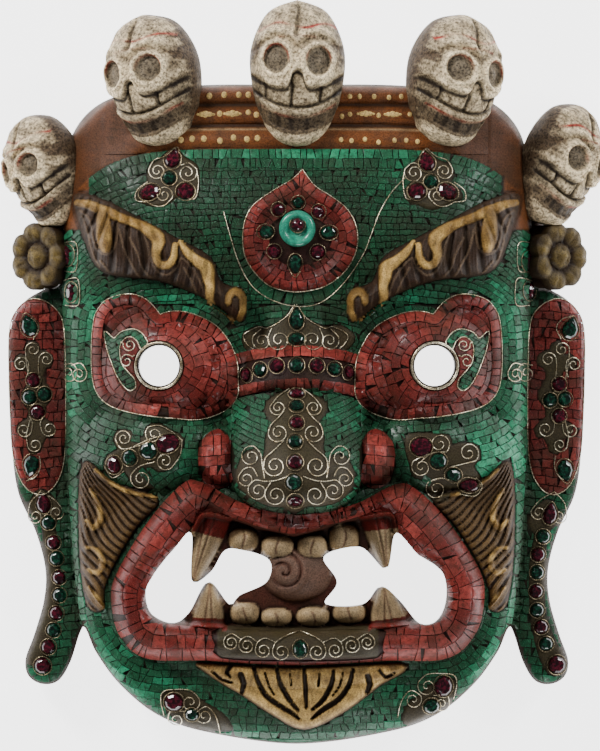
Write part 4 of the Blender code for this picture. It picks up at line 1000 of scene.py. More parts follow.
def makeSkull(name, plan, seed):
    x, y, halfWidth, halfHeight, halfDepth, height, turn, tilt = plan
    bm = bmesh.new()
    bmesh.ops.create_icosphere(bm, subdivisions=5, radius=1)
    front = [edge for edge in bm.edges if min(vert.co.z for vert in edge.verts) > -0.02]
    bmesh.ops.subdivide_edges(bm, edges=front, cuts=2, use_grid_fill=True)
    bmesh.ops.triangulate(bm, faces=[face for face in bm.faces if len(face.verts) > 3])
    for vert in bm.verts:
        vert.co.normalize()
    unit = np.array([vert.co for vert in bm.verts])
    rows = smoothCurve(skullForm["edge"], False, 0.1)
    across = np.interp(-unit[:, 1], -rows[:, 1], rows[:, 0])
    belt = np.maximum(np.sqrt(np.clip(1 - unit[:, 1] ** 2, 0, 1)), 1e-4)
    u = unit[:, 0] / belt * across
    v = unit[:, 1]
    side = unit[:, 2] / belt
    deep = side * halfDepth * np.clip(1 - v ** 2, 0, 1) ** 0.42
    front = ease((side - 0.02) / 0.25)
    au = np.abs(u)
    places = np.column_stack((u, v))
    rise = 0.25 * (np.sin(u * 23 + v * 17 + seed) + np.sin(u * 9 + seed) * np.sin(v * 11 - seed))

    def brushed(at, width):
        return np.exp(-(at / width) ** 2)

    # brow bones, eye discs in raised rims
    middle, level, wide, high = skullForm["socket"]
    lift = 0.015 * np.sign(u) * (seed == 0)
    eye = np.hypot((au - middle) / wide, (v - level + lift) / high)
    rise += 2.4 * brushed(eye - 1.28, 0.17) - 3.4 * ease((1.06 - eye) / 0.16) + 1.2 * ease((0.75 - eye) / 0.7)
    brow = v - 0.47 - 0.10 * np.cos((au - 0.42) * 4.2)
    rise += (2.2 * brushed(brow, 0.055) * ease((0.84 - au) / 0.1)
             - 1.6 * brushed(brow + 0.12, 0.045) * (eye > 1.35))
    cleft = brushed(u - 0.01 - 0.02 * np.sin(v * 9), 0.05) * ease((v - 0.42) / 0.1) * ease((0.97 - v) / 0.1)
    rise -= 3.0 * cleft
    # the cheek line stands over the teeth, with the notch of the nose in it
    line = np.interp(au, *smoothCurve(skullForm["cheekLine"], False, 0.05).T)
    above = ease((v - line) / 0.025)
    rise += 3.2 * above * ease((0.75 - v) / 0.6) + 1.2 * brushed(v - line - 0.06, 0.05) * above
    mouthLine = skullForm["mouth"][0] + skullForm["mouth"][1] * au ** 2
    lowLine = skullForm["lowerMouth"][0] + skullForm["lowerMouth"][1] * au ** 2
    below = v - mouthLine
    shut = brushed(below, 0.028)
    rise -= 3.2 * shut * (au < 0.95)
    rise += 1.8 * brushed(below + 0.075, 0.045) * (au < 0.9)
    low = ease((mouthLine - 0.13 - v) / 0.03) * ease((v - lowLine + 0.10) / 0.04) * ease((0.62 - au) / 0.08)
    rise -= 2.4 * low
    chin = brushed(v + 0.90 - 0.3 * au ** 2, 0.07)
    rise += 2.2 * chin
    gaps = sum(brushed(u - at - 0.01 * np.sin(v * 20), width) for at, width in skullForm["gaps"])
    gaps = gaps * (1 - above) * (below > 0.02)
    lowTeeth = sum(brushed(u - at, width) for at, width in skullForm["lowGaps"]) * low
    corner = ease((au - 0.70) / 0.06) * (1 - above) * (v > lowLine - 0.06)
    rise -= 2.0 * gaps + 1.2 * corner
    points = np.column_stack((u * halfWidth, v * halfHeight, deep + front * (rise + 1)))

    # paint: bone over brown patina with painted shade and highlights, red lines, dark gaps
    patinaAndPaintedLight = 0.34 + 0.20 * (wobble(places, 0.13, seed) + wobble(places, 0.045, seed + 2))
    # painted shade under the brow, below the cheek line and toward the sides and edges; darker toward the top
    patinaAndPaintedLight += 0.40 * brushed(brow + 0.12, 0.07) + 0.22 * (1 - above) + 0.30 * ease((v - 0.45) / 0.4)
    patinaAndPaintedLight += 0.50 * (1 - front) + 0.45 * ease((au - 0.62) / 0.3) * above
    # painted highlights on the raised eye rims, the chin and the ridge over the cheek line
    patinaAndPaintedLight -= 0.45 * brushed(eye - 1.3, 0.2) + 0.4 * chin + 0.25 * brushed(v - line - 0.09, 0.07) * above
    patinaAndPaintedLight = np.clip(patinaAndPaintedLight, 0.02, 1)[:, None]
    colours = np.array(bone["pale"]) + (np.array(bone["brown"]) - np.array(bone["pale"])) * patinaAndPaintedLight

    def tint(mask, colour):
        colours[:] = colours + (np.array(bone[colour]) - colours) * np.clip(mask, 0, 1)[:, None]

    tint(ease((0.98 - eye) / 0.08) * front, "disc")
    tint(0.8 * brushed(eye - 1.0, 0.075) * front, "dark")
    tint(0.85 * ease((mouthLine - 0.13 - v) / 0.04) * (v > lowLine - 0.13) * front, "brown")
    tint(low * 0.45 * front, "dark")
    worn = np.clip(0.55 + 0.7 * wobble(places, 0.3, seed + 1), 0.1, 1)
    redLine = 1.3 * brushed(eye - 1.08, 0.06) * ease((v - level + 0.06) / 0.12)
    redLine += 1.3 * brushed(v - 0.66 + 0.05 * np.sin(u * 6 + 1) + 0.08 * au, 0.020) * (au < 0.82)
    redLine += (0.8 * brushed(v - 0.50 + 0.06 * au, 0.014) * (au < 0.4)
                + brushed(below + 0.13, 0.016) * (au < 0.8))
    tint(redLine * worn * front, "red")
    shade = np.clip(0.9 * shut * (au < 0.95) + 0.9 * gaps + 0.45 * corner + 0.7 * cleft + 0.8 * lowTeeth
                    + brushed(v - line + 0.022, 0.028) * (au < 0.97), 0, 1) * front
    tint(shade, "dark")
    for vert, point in zip(bm.verts, points):
        vert.co = point
    putAt(bm, (x, y, height), turnAbout("Z", tilt), turnAbout("Y", turn))
    places = inMillimetres([vert.co for vert in bm.verts])
    for vert, height in zip(bm.verts, backHeight(places[:, :2]) + skullForm["cover"]):
        vert.co.z = max(vert.co.z, origin[2] + height * 0.001)
    piece = finishPiece(name, bm, bonePaint, ["carved_mask"])
    paintMesh(piece.data, colours, np.clip(shade * 0.4, 0, 1))


for number, (where, plan) in enumerate(skullPlan.items()):
    makeSkull("skull" + where[0].upper() + where[1:], plan, number)
print("skulls made")


bossPlan = {"left": (-170, 78.5, 41, -38), "right": (173, 78.5, 41, 38), "radius": 23, "back": 12,
            "petals": 7, "gilt": (0.200, 0.140, 0.040), "sharp": 70}


def makeBoss(side):
    # a gilt flower: a round button in a ring of petals
    x, y, height, turn = bossPlan[side]
    bm = bmesh.new()
    bmesh.ops.create_uvsphere(bm, u_segments=98, v_segments=44, radius=1)
    unit = np.array([vert.co for vert in bm.verts])
    angle = np.arctan2(unit[:, 1], unit[:, 0])
    petal = np.abs(np.cos(angle * bossPlan["petals"] / 2))
    reach = np.hypot(unit[:, 0], unit[:, 1]) * bossPlan["radius"] * (0.84 + 0.16 * petal)
    swollen = np.sin(np.clip((reach - 8) / (bossPlan["radius"] - 6), 0, 1) * math.pi) ** 0.6
    along = (angle * bossPlan["petals"] / (2 * math.pi)) % 1
    vein = sum(np.exp(-((along - end) / 0.03) ** 2) for end in (0.0, 1.0))
    petals = (3.6 + 2.2 * petal ** 0.5) * swollen - 1.5 * vein * (reach > 12)
    button = 7 * np.sqrt(np.clip(1 - (reach / 9.5) ** 2, 0, 1)) - 1.2 * np.exp(-((reach - 4.5) / 0.8) ** 2)
    top = 4 + np.maximum(petals, button) + 0.3 * wobble(unit[:, :2] * 20, 3)
    heights = np.where(unit[:, 2] > 0, top, 0) + np.where(unit[:, 2] < -0.3, -bossPlan["back"], 0)
    for vert, far, tall, direction in zip(bm.verts, reach, heights, angle):
        vert.co = (far * math.cos(direction), far * math.sin(direction), tall)
    putAt(bm, (x, y, height), turnAbout("Y", turn))
    name = "boss" + side.capitalize()
    piece = finishPiece(name, bm, carvedPaint, ["carved_mask"], True, bossPlan["sharp"])
    crest = np.clip((np.maximum(petals, button) - 3.2) / 3, 0, 1) * (unit[:, 2] > 0)
    crest *= 0.7 + 0.35 * wobble(unit[:, :2] * 20, 4)
    crest = np.clip(crest, 0, 1)[:, None]
    old, gilded = np.array(woodPaint["umber"]), np.array(bossPlan["gilt"])
    paintMesh(piece.data, old + (gilded - old) * crest)


shoulderPlan = {"left": (-157, 99, 26), "right": (157, 100, 26), "size": (9, 12, 12), "shade": 0.5}


def makeShoulder(side):
    # the wood that joins an outer skull and its boss to the head
    bm = bmesh.new()
    bmesh.ops.create_icosphere(bm, subdivisions=4, radius=1)
    bmesh.ops.scale(bm, vec=shoulderPlan["size"], verts=bm.verts)
    bmesh.ops.translate(bm, vec=shoulderPlan[side], verts=bm.verts)
    toMetres(bm)
    wood = np.array(woodPaint["crown"]) * shoulderPlan["shade"]
    piece = finishPiece("shoulder" + side.capitalize(), bm, carvedPaint, ["carved_mask"])
    paintMesh(piece.data, np.tile(wood, (len(piece.data.vertices), 1)))


for side in ("left", "right"):
    makeBoss(side)
for side in ("left", "right"):
    makeShoulder(side)


crownGilding = {                                                 # dots and leaves, in pixels of the photo
    "dots": [(196.4, 97), (208.6, 98), (223.4, 97), (238, 97), (247.5, 97), (180.4, 142), (191.6, 141),
             (203.2, 141), (219.3, 143), (232.7, 140), (246, 141.5), (256.4, 140.5), (219, 116), (247.5, 115),
             (255.5, 117), (188, 115)],
    "leaves": [(205, 116.5), (231.8, 116)], "axis": 298, "dotSize": (2.0, 2.3, 0.7),
    "leaf": ((0, 2.6, 2.6), (-4, 2.2, 1.9), (4, 2.2, 1.9), (-7.5, 1.4, 1.0), (7.5, 1.4, 1.0)),
    "colour": (0.66, 0.46, 0.17),
}


def makeCrownGilding():
    bm = bmesh.new()
    size = crownGilding["dotSize"]

    def dab(px, py, wide, high):
        x, y = spot(px, py)
        made = bmesh.ops.create_icosphere(bm, subdivisions=2, radius=1)["verts"]
        bmesh.ops.scale(bm, vec=(wide, high, size[2]), verts=made)
        bmesh.ops.translate(bm, vec=(x, y, heightAt([(x, y)])[0] + 0.1), verts=made)

    # the right half is worn: its dots and leaves are smaller, and its dots sit lower
    across = 2 * crownGilding["axis"]
    for start, hand, drop, dotShare, leafShare in ((0, 1, 0, 1, 1), (across, -1, 1.5, 0.8, 0.9)):
        for px, py in crownGilding["dots"]:
            dab(start + hand * px, py + drop, size[0] * dotShare, size[1] * dotShare)
        for px, py in crownGilding["leaves"]:
            for offset, wide, high in crownGilding["leaf"]:
                dab(start + hand * px + offset, py, wide * leafShare, high * leafShare)
    toMetres(bm)
    piece = finishPiece("crownGilding", bm, carvedPaint)
    paintMesh(piece.data, np.tile(crownGilding["colour"], (len(piece.data.vertices), 1)))


makeCrownGilding()

# inlay: chips lie in rows that follow a field over the face plane, and joints cross each row

def runningLength(line):
    return np.concatenate(([0], np.cumsum(np.hypot(*np.diff(line, axis=0).T))))


def placesAlong(line, reach, at):
    return np.column_stack((np.interp(at, reach, line[:, 0]), np.interp(at, reach, line[:, 1])))


def traceLevels(field, low, high, levels, step=1.5, spacing=2.6):
    # marching squares: the lines on which the field has each of the levels
    xs, ys = np.arange(low[0], high[0], step), np.arange(low[1], high[1], step)
    grid = np.meshgrid(xs, ys)
    values = field(np.column_stack([part.ravel() for part in grid])).reshape(len(ys), len(xs))
    lines = []
    for level in levels:
        above = values > level
        corners = above[:-1, :-1].astype(int) + above[:-1, 1:] + above[1:, :-1] + above[1:, 1:]
        links, spotsOn = {}, {}
        for j, i in zip(*np.nonzero((corners > 0) & (corners < 4))):
            hits = []
            for key, a, b in (((i, j, 0), (j, i), (j, i + 1)), ((i + 1, j, 1), (j, i + 1), (j + 1, i + 1)),
                              ((i, j + 1, 0), (j + 1, i), (j + 1, i + 1)), ((i, j, 1), (j, i), (j + 1, i))):
                if above[a] != above[b]:
                    t = (level - values[a]) / (values[b] - values[a])
                    spotsOn[key] = (xs[a[1]] + t * (xs[b[1]] - xs[a[1]]),
                                    ys[a[0]] + t * (ys[b[0]] - ys[a[0]]))
                    hits.append(key)
            for a, b in zip(hits[::2], hits[1::2]):
                links.setdefault(a, []).append(b)
                links.setdefault(b, []).append(a)
        found = []
        for start in sorted(links, key=lambda key: len(links[key])):
            if not links[start]:
                continue
            path = [start]
            while links[path[-1]]:
                follow = links[path[-1]].pop()
                links[follow].remove(path[-1])
                path.append(follow)
            line = np.array([spotsOn[key] for key in path])
            reach = runningLength(line)
            if reach[-1] > 3:
                at = np.linspace(0, reach[-1], max(2, round(reach[-1] / spacing) + 1))
                found.append(placesAlong(line, reach, at))
        lines.append(found)
    return lines


cutPlan = {"shortest": 0.6, "sharpest": 0.86, "straight": -0.996, "straightReach": 2,
           "smallest": 2.2, "largest": 140, "thinnest": 0.44}       # corners in mm and cosines, chips in mm2


def cleaned(cell):
    # drops corners that are too close together or too sharp to cut in stone
    changed = True
    while changed and len(cell) > 2:
        changed = False
        for i, (x, y) in enumerate(cell):
            (ax, ay), (bx, by) = cell[i - 1], cell[(i + 1) % len(cell)]
            before, after = (ax - x, ay - y), (bx - x, by - y)
            reach = math.hypot(*before), math.hypot(*after)
            turn = (before[0] * after[0] + before[1] * after[1]) / max(reach[0] * reach[1], 1e-9)
            straight = turn < cutPlan["straight"] and min(reach) < cutPlan["straightReach"]
            if min(reach) < cutPlan["shortest"] or turn > cutPlan["sharpest"] or straight:
                cell = cell[:i] + cell[i + 1:]
                changed = True
                break
    return np.array(cell)


def cutChips(region, dice):
    # the cells between rows, joints and outlines, as corner lists
    corners, edges, rows = [], [], []
    for found in traceLevels(region["field"], region["low"], region["high"], region["levels"],
                             spacing=region.get("spacing", 2.6)):
        row = []
        for line in found:
            start = len(corners)
            shake = region.get("shake", 0.3)
            corners += [(x + dice.uniform(-shake, shake), y + dice.uniform(-shake, shake)) for x, y in line]
            edges += [(start + i, start + i + 1) for i in range(len(line) - 1)]
            row.append(range(start, start + len(line)))
        rows.append(row)
    reach = max(abs(b - a) for a, b in zip(region["levels"], region["levels"][1:])) * 1.6
    placesSoFar = np.array(corners)
    shortest, longest = region.get("length", (2, 3))
    for row, nextRow in zip(rows, rows[1:]):
        targets = [i for line in nextRow for i in line]
        if not targets:
            continue
        targetPlaces = placesSoFar[targets]
        for line in row:
            i = dice.randint(0, 2)
            while i < len(line):
                gaps = np.hypot(*(targetPlaces - placesSoFar[line[i]]).T)
                nearest = int(gaps.argmin())
                if gaps[nearest] < reach:
                    edges.append((line[i], targets[nearest]))
                    if dice.random() < region.get("cracks", 0.12) and nearest + 1 < len(targets):
                        other = targets[nearest + dice.choice((-1, 1))]
                        if np.hypot(*(placesSoFar[other] - placesSoFar[line[i]])) < reach:
                            edges.append((line[i], other))
                i += dice.randint(shortest, longest)
    for outline in region["edges"]:
        start = len(corners)
        corners += [tuple(point) for point in outline]
        edges += [(start + i, start + (i + 1) % len(outline)) for i in range(len(outline))]
    points, _, faces, _, _, _ = delaunay_2d_cdt([Vector(point) for point in corners], edges, [], 3, 1e-4)
    cells = []
    for face in faces:
        cell = cleaned([tuple(points[i]) for i in face])
        if len(cell) < 3:
            continue
        ahead = np.roll(cell, -1, axis=0)
        area = abs(np.sum(cell[:, 0] * ahead[:, 1] - ahead[:, 0] * cell[:, 1])) / 2
        around = np.sum(np.hypot(*(ahead - cell).T))
        sound = cutPlan["smallest"] < area < cutPlan["largest"] and area / around > cutPlan["thinnest"]
        if sound and len({tuple(point) for point in cell}) == len(cell):
            cells.append(cell)
    if not cells:
        return []
    centres = np.array([cell.mean(axis=0) for cell in cells])
    return [cell for cell, keep in zip(cells, region["inside"](centres)) if keep]


chipPlan = {"joint": 0.34, "rise": 0.6, "chamfer": 0.26, "crown": 0.2, "facet": 3.0, "bedded": 0.1,
            "tip": 0.025, "swell": 2.5, "sharp": 28, "slopeReach": 1.2, "steepest": 1.6}


def surfaceNormals(places):
    reach = chipPlan["slopeReach"]
    slopeX = (heightAt(places + (reach, 0)) - heightAt(places - (reach, 0))) / (2 * reach)
    slopeY = (heightAt(places + (0, reach)) - heightAt(places - (0, reach))) / (2 * reach)
    slopes = np.hypot(slopeX, slopeY)
    limit = np.minimum(1, chipPlan["steepest"] / np.maximum(slopes, 1e-6))
    normals = np.column_stack((-slopeX * limit, -slopeY * limit, np.ones(len(places))))
    return normals / np.linalg.norm(normals, axis=1)[:, None]


def finer(cell):
    # the same chip outline with its long sides divided
    points = []
    for (x, y), (nextX, nextY) in zip(cell, np.roll(cell, -1, axis=0)):
        parts = max(1, round(math.hypot(nextX - x, nextY - y) / chipPlan["facet"]))
        points += [(x + (nextX - x) * i / parts, y + (nextY - y) * i / parts) for i in range(parts)]
    return points


def layInlay(name, cells, material, tintOf, dice):
    bm = bmesh.new()
    tint = bm.verts.layers.float_color.new("tint")
    centres = np.array([cell.mean(axis=0) for cell in cells])
    for cell, colour in zip(cells, tintOf(centres, dice)):
        verts = [bm.verts.new((x, y, 0)) for x, y in finer(cell)]
        for vert in verts:
            vert[tint] = (*colour, 1)
        bm.faces.new(verts)
    bmesh.ops.recalc_face_normals(bm, faces=bm.faces)
    bmesh.ops.reverse_faces(bm, faces=[face for face in bm.faces if face.normal.z < 0])
    rings = bmesh.ops.inset_individual(bm, faces=bm.faces[:], thickness=chipPlan["joint"],
                                       use_even_offset=False)
    bmesh.ops.delete(bm, geom=rings["faces"], context="FACES")
    setHeights(bm.verts, heightAt(flat(bm.verts)) - chipPlan["bedded"])
    tops = [item for item in bmesh.ops.extrude_face_region(bm, geom=bm.faces[:])["geom"]
            if isinstance(item, bmesh.types.BMFace)]
    topVerts = list({vert for face in tops for vert in face.verts})
    for vert, normal in zip(topVerts, surfaceNormals(flat(topVerts))):
        vert.co += Vector(normal) * (chipPlan["rise"] + chipPlan["bedded"])
    for face in tops:                                            # every chip tips a little its own way
        middle = face.calc_center_median()
        slopeX, slopeY = dice.gauss(0, chipPlan["tip"]), dice.gauss(0, chipPlan["tip"])
        for vert in face.verts:
            vert.co.z += slopeX * (vert.co.x - middle.x) + slopeY * (vert.co.y - middle.y)
    bmesh.ops.inset_individual(bm, faces=tops, thickness=chipPlan["chamfer"], depth=chipPlan["crown"],
                               use_even_offset=False)
    cornered = set(bm.verts)
    poked = bmesh.ops.poke(bm, faces=tops, offset=0)["verts"]
    spokes = [edge for vert in poked for edge in vert.link_edges if edge.calc_length() > chipPlan["facet"]]
    bmesh.ops.subdivide_edges(bm, edges=spokes, cuts=1)
    middles = [vert for vert in bm.verts if vert not in cornered]
    above = heightAt(flat(middles)) + chipPlan["rise"] + chipPlan["crown"]
    for vert, height in zip(middles, above):
        vert.co.z = max(vert.co.z, min(height, vert.co.z + chipPlan["swell"]))
    toMetres(bm)
    finishPiece(name, bm, material, ["carved_mask"], True, chipPlan["sharp"])
    print(name, len(cells), "chips")


def makeInlayMaterial(name, pale, deep, roughness):
    # polished stone chips: their tint, which carries painted highlights and shade, clouded and veined, dulled
    # by wax and dirt
    material, tree, shader = newMaterial(name)
    tint = attribute(tree, "tint").outputs[0]
    mottle, grain = addWeather(tree, 300, 1500)
    clouded = mixColours(tree, remap(tree, mottle, 0.36, 0.66, 0.0, 0.65), tint, deep)
    veined = mixColours(tree, remap(tree, grain, 0.55, 0.72, 0.0, 0.38), clouded, pale)
    grime, fine = addWeather(tree, 38, 420)
    specks = mixColours(tree, remap(tree, fine, 0.56, 0.68, 0.0, 0.7), veined, (0.012, 0.012, 0.007, 1))
    dirty = mixColours(tree, remap(tree, grime, 0.44, 0.68, 0.0, 0.6), specks, (0.022, 0.021, 0.011, 1))
    setShader(tree, shader, dirty, remap(tree, grime, 0.35, 0.7, roughness, roughness + 0.25),
              specular=0.16, coatRoughness=0.16)
    tree.links.new(remap(tree, grime, 0.38, 0.6, 0.12, 0.0), shader.inputs["Coat Weight"])
    addBump(tree, shader, mottle, 0.3, 0.0007)
    return material


inlay = {"green": makeInlayMaterial("greenInlay", (0.12, 0.44, 0.24, 1), (0.006, 0.036, 0.016, 1), 0.38),
         "red": makeInlayMaterial("redInlay", (0.55, 0.13, 0.10, 1), (0.070, 0.009, 0.008, 1), 0.36)}

zones = {
    "comma": smoothCurve(spots([(104, 332), (110, 336), (114, 339), (121, 333), (133, 330), (142, 334),
                                (148, 344), (142, 351), (138, 343), (132, 338), (126, 339), (121, 345),
                                (120, 353), (122, 364), (128, 372), (135, 380), (136, 388), (132, 391),
                                (126, 389), (118, 378), (111, 362), (106, 347)]), True, 2.5),
    "crescent": smoothCurve(spots([(229, 218), (233, 245), (246, 280), (266, 299), (293, 307), (318, 304),
                                   (341, 285), (361, 256), (371, 230), (345, 225), (295, 240),
                                   (255, 225)]), True, 4),
    "nose": smoothCurve(mirrored([(0, -12), (39, -17), (42, -30), (43.5, -55), (42, -70), (37, -84),
                                  (20, -94), (0, -98)]), True, 5),
    "nostril": smoothCurve([(52, -37), (63, -45), (65, -58), (62, -72), (52, -77), (43, -73), (41, -60),
                            (43, -45)],
                           True, 4),
}
zones["commaRight"] = otherSide(zones["comma"])
outlines["lipBed"] = smoothCurve([(-52, -169), (0, -171), (55, -169), (56, -180), (53, -189), (0, -191),
                                  (-50, -189), (-54, -180)], True, 4)
# where the forehead's chips end, the widths of the pouch rim and the bare edge, the eye hole's wire
inlayPlan = {"foreheadLow": 46, "pouchRim": 6.2, "edge": 1.7, "eyeRing": 16.6, "clearEye": 16.4}


def depthField(name, places):
    return signedDepth(outlines[name], places)


def levelLoop(name, low, high, level):
    # the longest line at one depth inside an outline
    found = traceLevels(lambda p: depthField(name, p), low, high, [level])[0]
    return max(found, key=len)[:-1]


outlines["trimmed"] = levelLoop("mask", (-206, -252), (206, 206), inlayPlan["edge"])
outlines["eyeInner"] = levelLoop("pouch", (36, -34), (142, 58), inlayPlan["pouchRim"] + 0.9)
for side, name in ((-1, "leftEyeRing"), (1, "rightEyeRing")):
    outlines[name] = eyeCircle(side, inlayPlan["eyeRing"])


def both(name):
    return [outlines[name], otherSide(outlines[name])]


bedLoops = list(beds.values())


def crownDepth(places):
    # distance below the painted crown
    below = crown["low"] - places[:, 1]
    beside = np.where(places[:, 1] > crown["sideLow"], crown["side"] - np.abs(places[:, 0]), below)
    return np.minimum(crown["low"] - bandHeight(places), beside)


def offBeds(places):
    clear = np.ones(len(places), bool)
    for loop in bedLoops:
        clear &= ~within(loop, places)
    return clear


def insideAny(names, places):
    # three outlines are not the same on both sides, and the rest are drawn on the right
    found = np.zeros(len(places), bool)
    for name in names:
        at = places if name in ("thirdEye", "outerLip", "chinLock") else folded(places)
        found |= within(outlines[name] if name in outlines else zones[name], at)
    return found


def onFace(places):
    return inWood(places, 1.6) & offBeds(places)


def greenPlaces(places):
    return onFace(places) & (crownDepth(places) > 0) & ~insideAny(
        ("brow", "pouch", "thirdEye", "outerLip", "beard", "chinLock", "nostril", "earPanel"), places)


def onHead(places):
    return within(outlines["head"], places)


def sideField(places):
    side = folded(places)
    return np.minimum(-depthField("pouch", side), -depthField("outerLip", side) + 2.5)


def inComma(places):
    return within(zones["comma"], places) | within(zones["commaRight"], places)


def nearAxis(places, reach=44):
    return np.abs(places[:, 0]) < reach


crownLine = np.array([(x, crown["low"] - crown["droop"] * (abs(x) / crown["halfWidth"]) ** 6)
                      for x in np.arange(-crown["side"], crown["side"] + 1, 6)]
                     + [(139, 96), (170, 96), (170, 225), (-170, 225), (-170, 96), (-139, 96)])
foreheadLow = inlayPlan["foreheadLow"]
lowFace = np.array([(-220, foreheadLow), (220, foreheadLow), (220, -270), (-220, -270)])
bothCommas = [zones["comma"], zones["commaRight"]]
bothNostrils = [zones["nostril"], otherSide(zones["nostril"])]
regions = {
    "greenForehead": {
        "field": lambda p: bandHeight(p) + 1.6 * wobble(p, 30) * ease((138 - p[:, 1]) / 12),
        "levels": np.concatenate((np.arange(40, 136, 4.3), [136.3, 142.9, 150.6])), "low": (-160, 40),
        "high": (160, 154), "length": (2, 3), "spacing": 2.1, "shake": 0.45, "cracks": 0.14,
        "edges": both("brow") + [outlines["thirdEye"], zones["crescent"], crownLine, lowFace] + bedLoops,
        "inside": lambda p: greenPlaces(p) & (p[:, 1] > foreheadLow) & ~within(zones["crescent"], p)
        & (np.abs(p[:, 0]) < 150)},
    "greenCrescent": {
        "field": lambda p: -depthField("thirdEye", p), "levels": [-0.8, 8.5], "low": (-60, 38),
        "high": (60, 140), "edges": [outlines["thirdEye"], zones["crescent"]],
        "inside": lambda p: within(zones["crescent"], p) & ~within(outlines["thirdEye"], p)
        & (p[:, 1] < 104)},
    "greenBridge": {
        "field": lambda p: p[:, 1] + 0.004 * p[:, 0] ** 2, "levels": np.arange(5, 52, 4.6), "low": (-52, 8),
        "high": (52, 50), "edges": both("pouch") + both("brow") + bedLoops + [lowFace, zones["crescent"]],
        "inside": lambda p: greenPlaces(p) & (p[:, 1] < foreheadLow) & (bridgeOffset(p) > 1) & nearAxis(p)
        & (p[:, 1] > 10) & ~within(zones["crescent"], p)},
    "greenNose": {
        "field": lambda p: p[:, 1] - 0.008 * p[:, 0] ** 2, "levels": np.arange(-118, -2, 4.2),
        "low": (-48, -102), "high": (48, -8), "length": (1, 2),
        "edges": [zones["nose"]] + bothNostrils + [outlines["outerLip"]] + bedLoops,
        "inside": lambda p: greenPlaces(p) & within(zones["nose"], p) & (bridgeOffset(p) < -1)},
    "greenFace": {
        "field": sideField, "levels": np.arange(-0.6, 96, 4.9), "length": (2, 3), "spacing": 2.3,
        "shake": 0.4, "cracks": 0.14, "low": (-162, -246), "high": (162, 128),
        "edges": both("brow") + both("pouch") + both("beard") + [outlines["outerLip"], outlines["chinLock"],
                 outlines["head"], outlines["trimmed"], zones["nose"]] + bothNostrils + bedLoops,
        "inside": lambda p: greenPlaces(p) & onHead(p) & ~within(zones["nose"], p)
        & ((p[:, 1] < foreheadLow) | (np.abs(p[:, 0]) > 150)) & ~(nearAxis(p) & (p[:, 1] > 10))
        & ~((np.abs(bridgeOffset(p)) < 1) & nearAxis(p))},
    "greenEars": {
        "field": lambda p: p[:, 1] + 0.12 * np.abs(p[:, 0]), "levels": np.arange(-205, 90, 5.6),
        "low": (-198, -210), "high": (198, 70),
        "edges": [outlines["head"], outlines["trimmed"]] + both("earPanel") + bedLoops,
        "inside": lambda p: greenPlaces(p) & ~onHead(p)},
    "greenComma": {
        "field": lambda p: p[:, 1] + 0.5 * np.abs(p[:, 0]), "levels": np.arange(20, 120, 3.6),
        "length": (1, 2), "low": (-132, -15), "high": (132, 32), "edges": bothCommas, "inside": inComma},
    "redRim": {
        "field": lambda p: depthField("pouch", folded(p)), "levels": [-0.9, 7.1],
        "low": (-142, -36), "high": (142, 58), "edges": both("pouch"),
        "inside": lambda p: insideAny(("pouch",), p)
        & (depthField("pouch", folded(p)) < inlayPlan["pouchRim"] + 1)},
    "redEye": {
        "field": lambda p: wobble(p, 14)
        + np.hypot(np.abs(p[:, 0]) - eyeHole["x"], (p[:, 1] - eyeHole["y"]) * 1.12),
        "levels": np.arange(10.5, 70, 6.1), "low": (-142, -36), "high": (142, 58),
        "edges": both("eyeInner") + bothCommas + [outlines["leftEyeRing"], outlines["rightEyeRing"]],
        "inside": lambda p: insideAny(("eyeInner",), p) & ~inComma(p)
        & (np.hypot(np.abs(p[:, 0]) - eyeHole["x"], p[:, 1] - eyeHole["y"]) > inlayPlan["clearEye"])},
    "redThirdEye": {
        "field": lambda p: depthField("thirdEye", p), "levels": [-0.9, 7.2, 12.4, 17.6, 22.8],
        "low": (-42, 48), "high": (42, 140), "edges": [outlines["thirdEye"]],
        "inside": lambda p: within(outlines["thirdEye"], p) & (depthField("thirdEye", p) < 17.6)},
    "redBridge": {
        "field": lambda p: bridgeOffset(p) * bridgeBand["halfHeight"], "levels": [-14.2, -7.2, 7.2, 14.2],
        "low": (-46, -24), "high": (46, 24), "edges": both("pouch"),
        "inside": lambda p: (np.abs(bridgeOffset(p)) < 1) & (np.abs(bridgeOffset(p)) > 0.5)
        & nearAxis(p, 42.5) & ~insideAny(("pouch",), p)},
    "redNostrils": {
        "field": lambda p: p[:, 1] + 0.1 * np.abs(p[:, 0]), "levels": np.arange(-81, -25, 6.4),
        "length": (2, 3), "low": (-68, -80), "high": (68, -34), "edges": bothNostrils + [zones["nose"]],
        "inside": lambda p: insideAny(("nostril",), p) & ~within(zones["nose"], p)},
    "redLips": {
        "field": lambda p: depthField("outerLip", p), "levels": [-0.9, 8.6, 17.2, 24.5, 31],
        "low": (-127, -197), "high": (128, -70), "length": (2, 4),
        "edges": [outlines["outerLip"], outlines["innerLip"], outlines["lipBed"]] + edgeLoops[3:],
        "inside": lambda p: within(outlines["outerLip"], p) & ~within(outlines["innerLip"], p)
        & ~within(outlines["lipBed"], p) & inWood(p, 1.2)},
    "redEars": {
        "field": lambda p: p[:, 1] + 2.5 * wobble(p, 20), "levels": np.arange(-90, 55, 6.6),
        "low": (-197, -86), "high": (197, 54), "edges": both("earPanel") + bedLoops,
        "inside": lambda p: insideAny(("earPanel",), p) & offBeds(p)},
}

inlayTints = {                                                   # deep, usual and bright chip colours
    "green": ((0.010, 0.027, 0.012), (0.010, 0.084, 0.036), (0.026, 0.330, 0.160)),
    "red": ((0.042, 0.008, 0.007), (0.170, 0.021, 0.017), (0.440, 0.075, 0.060)),
}
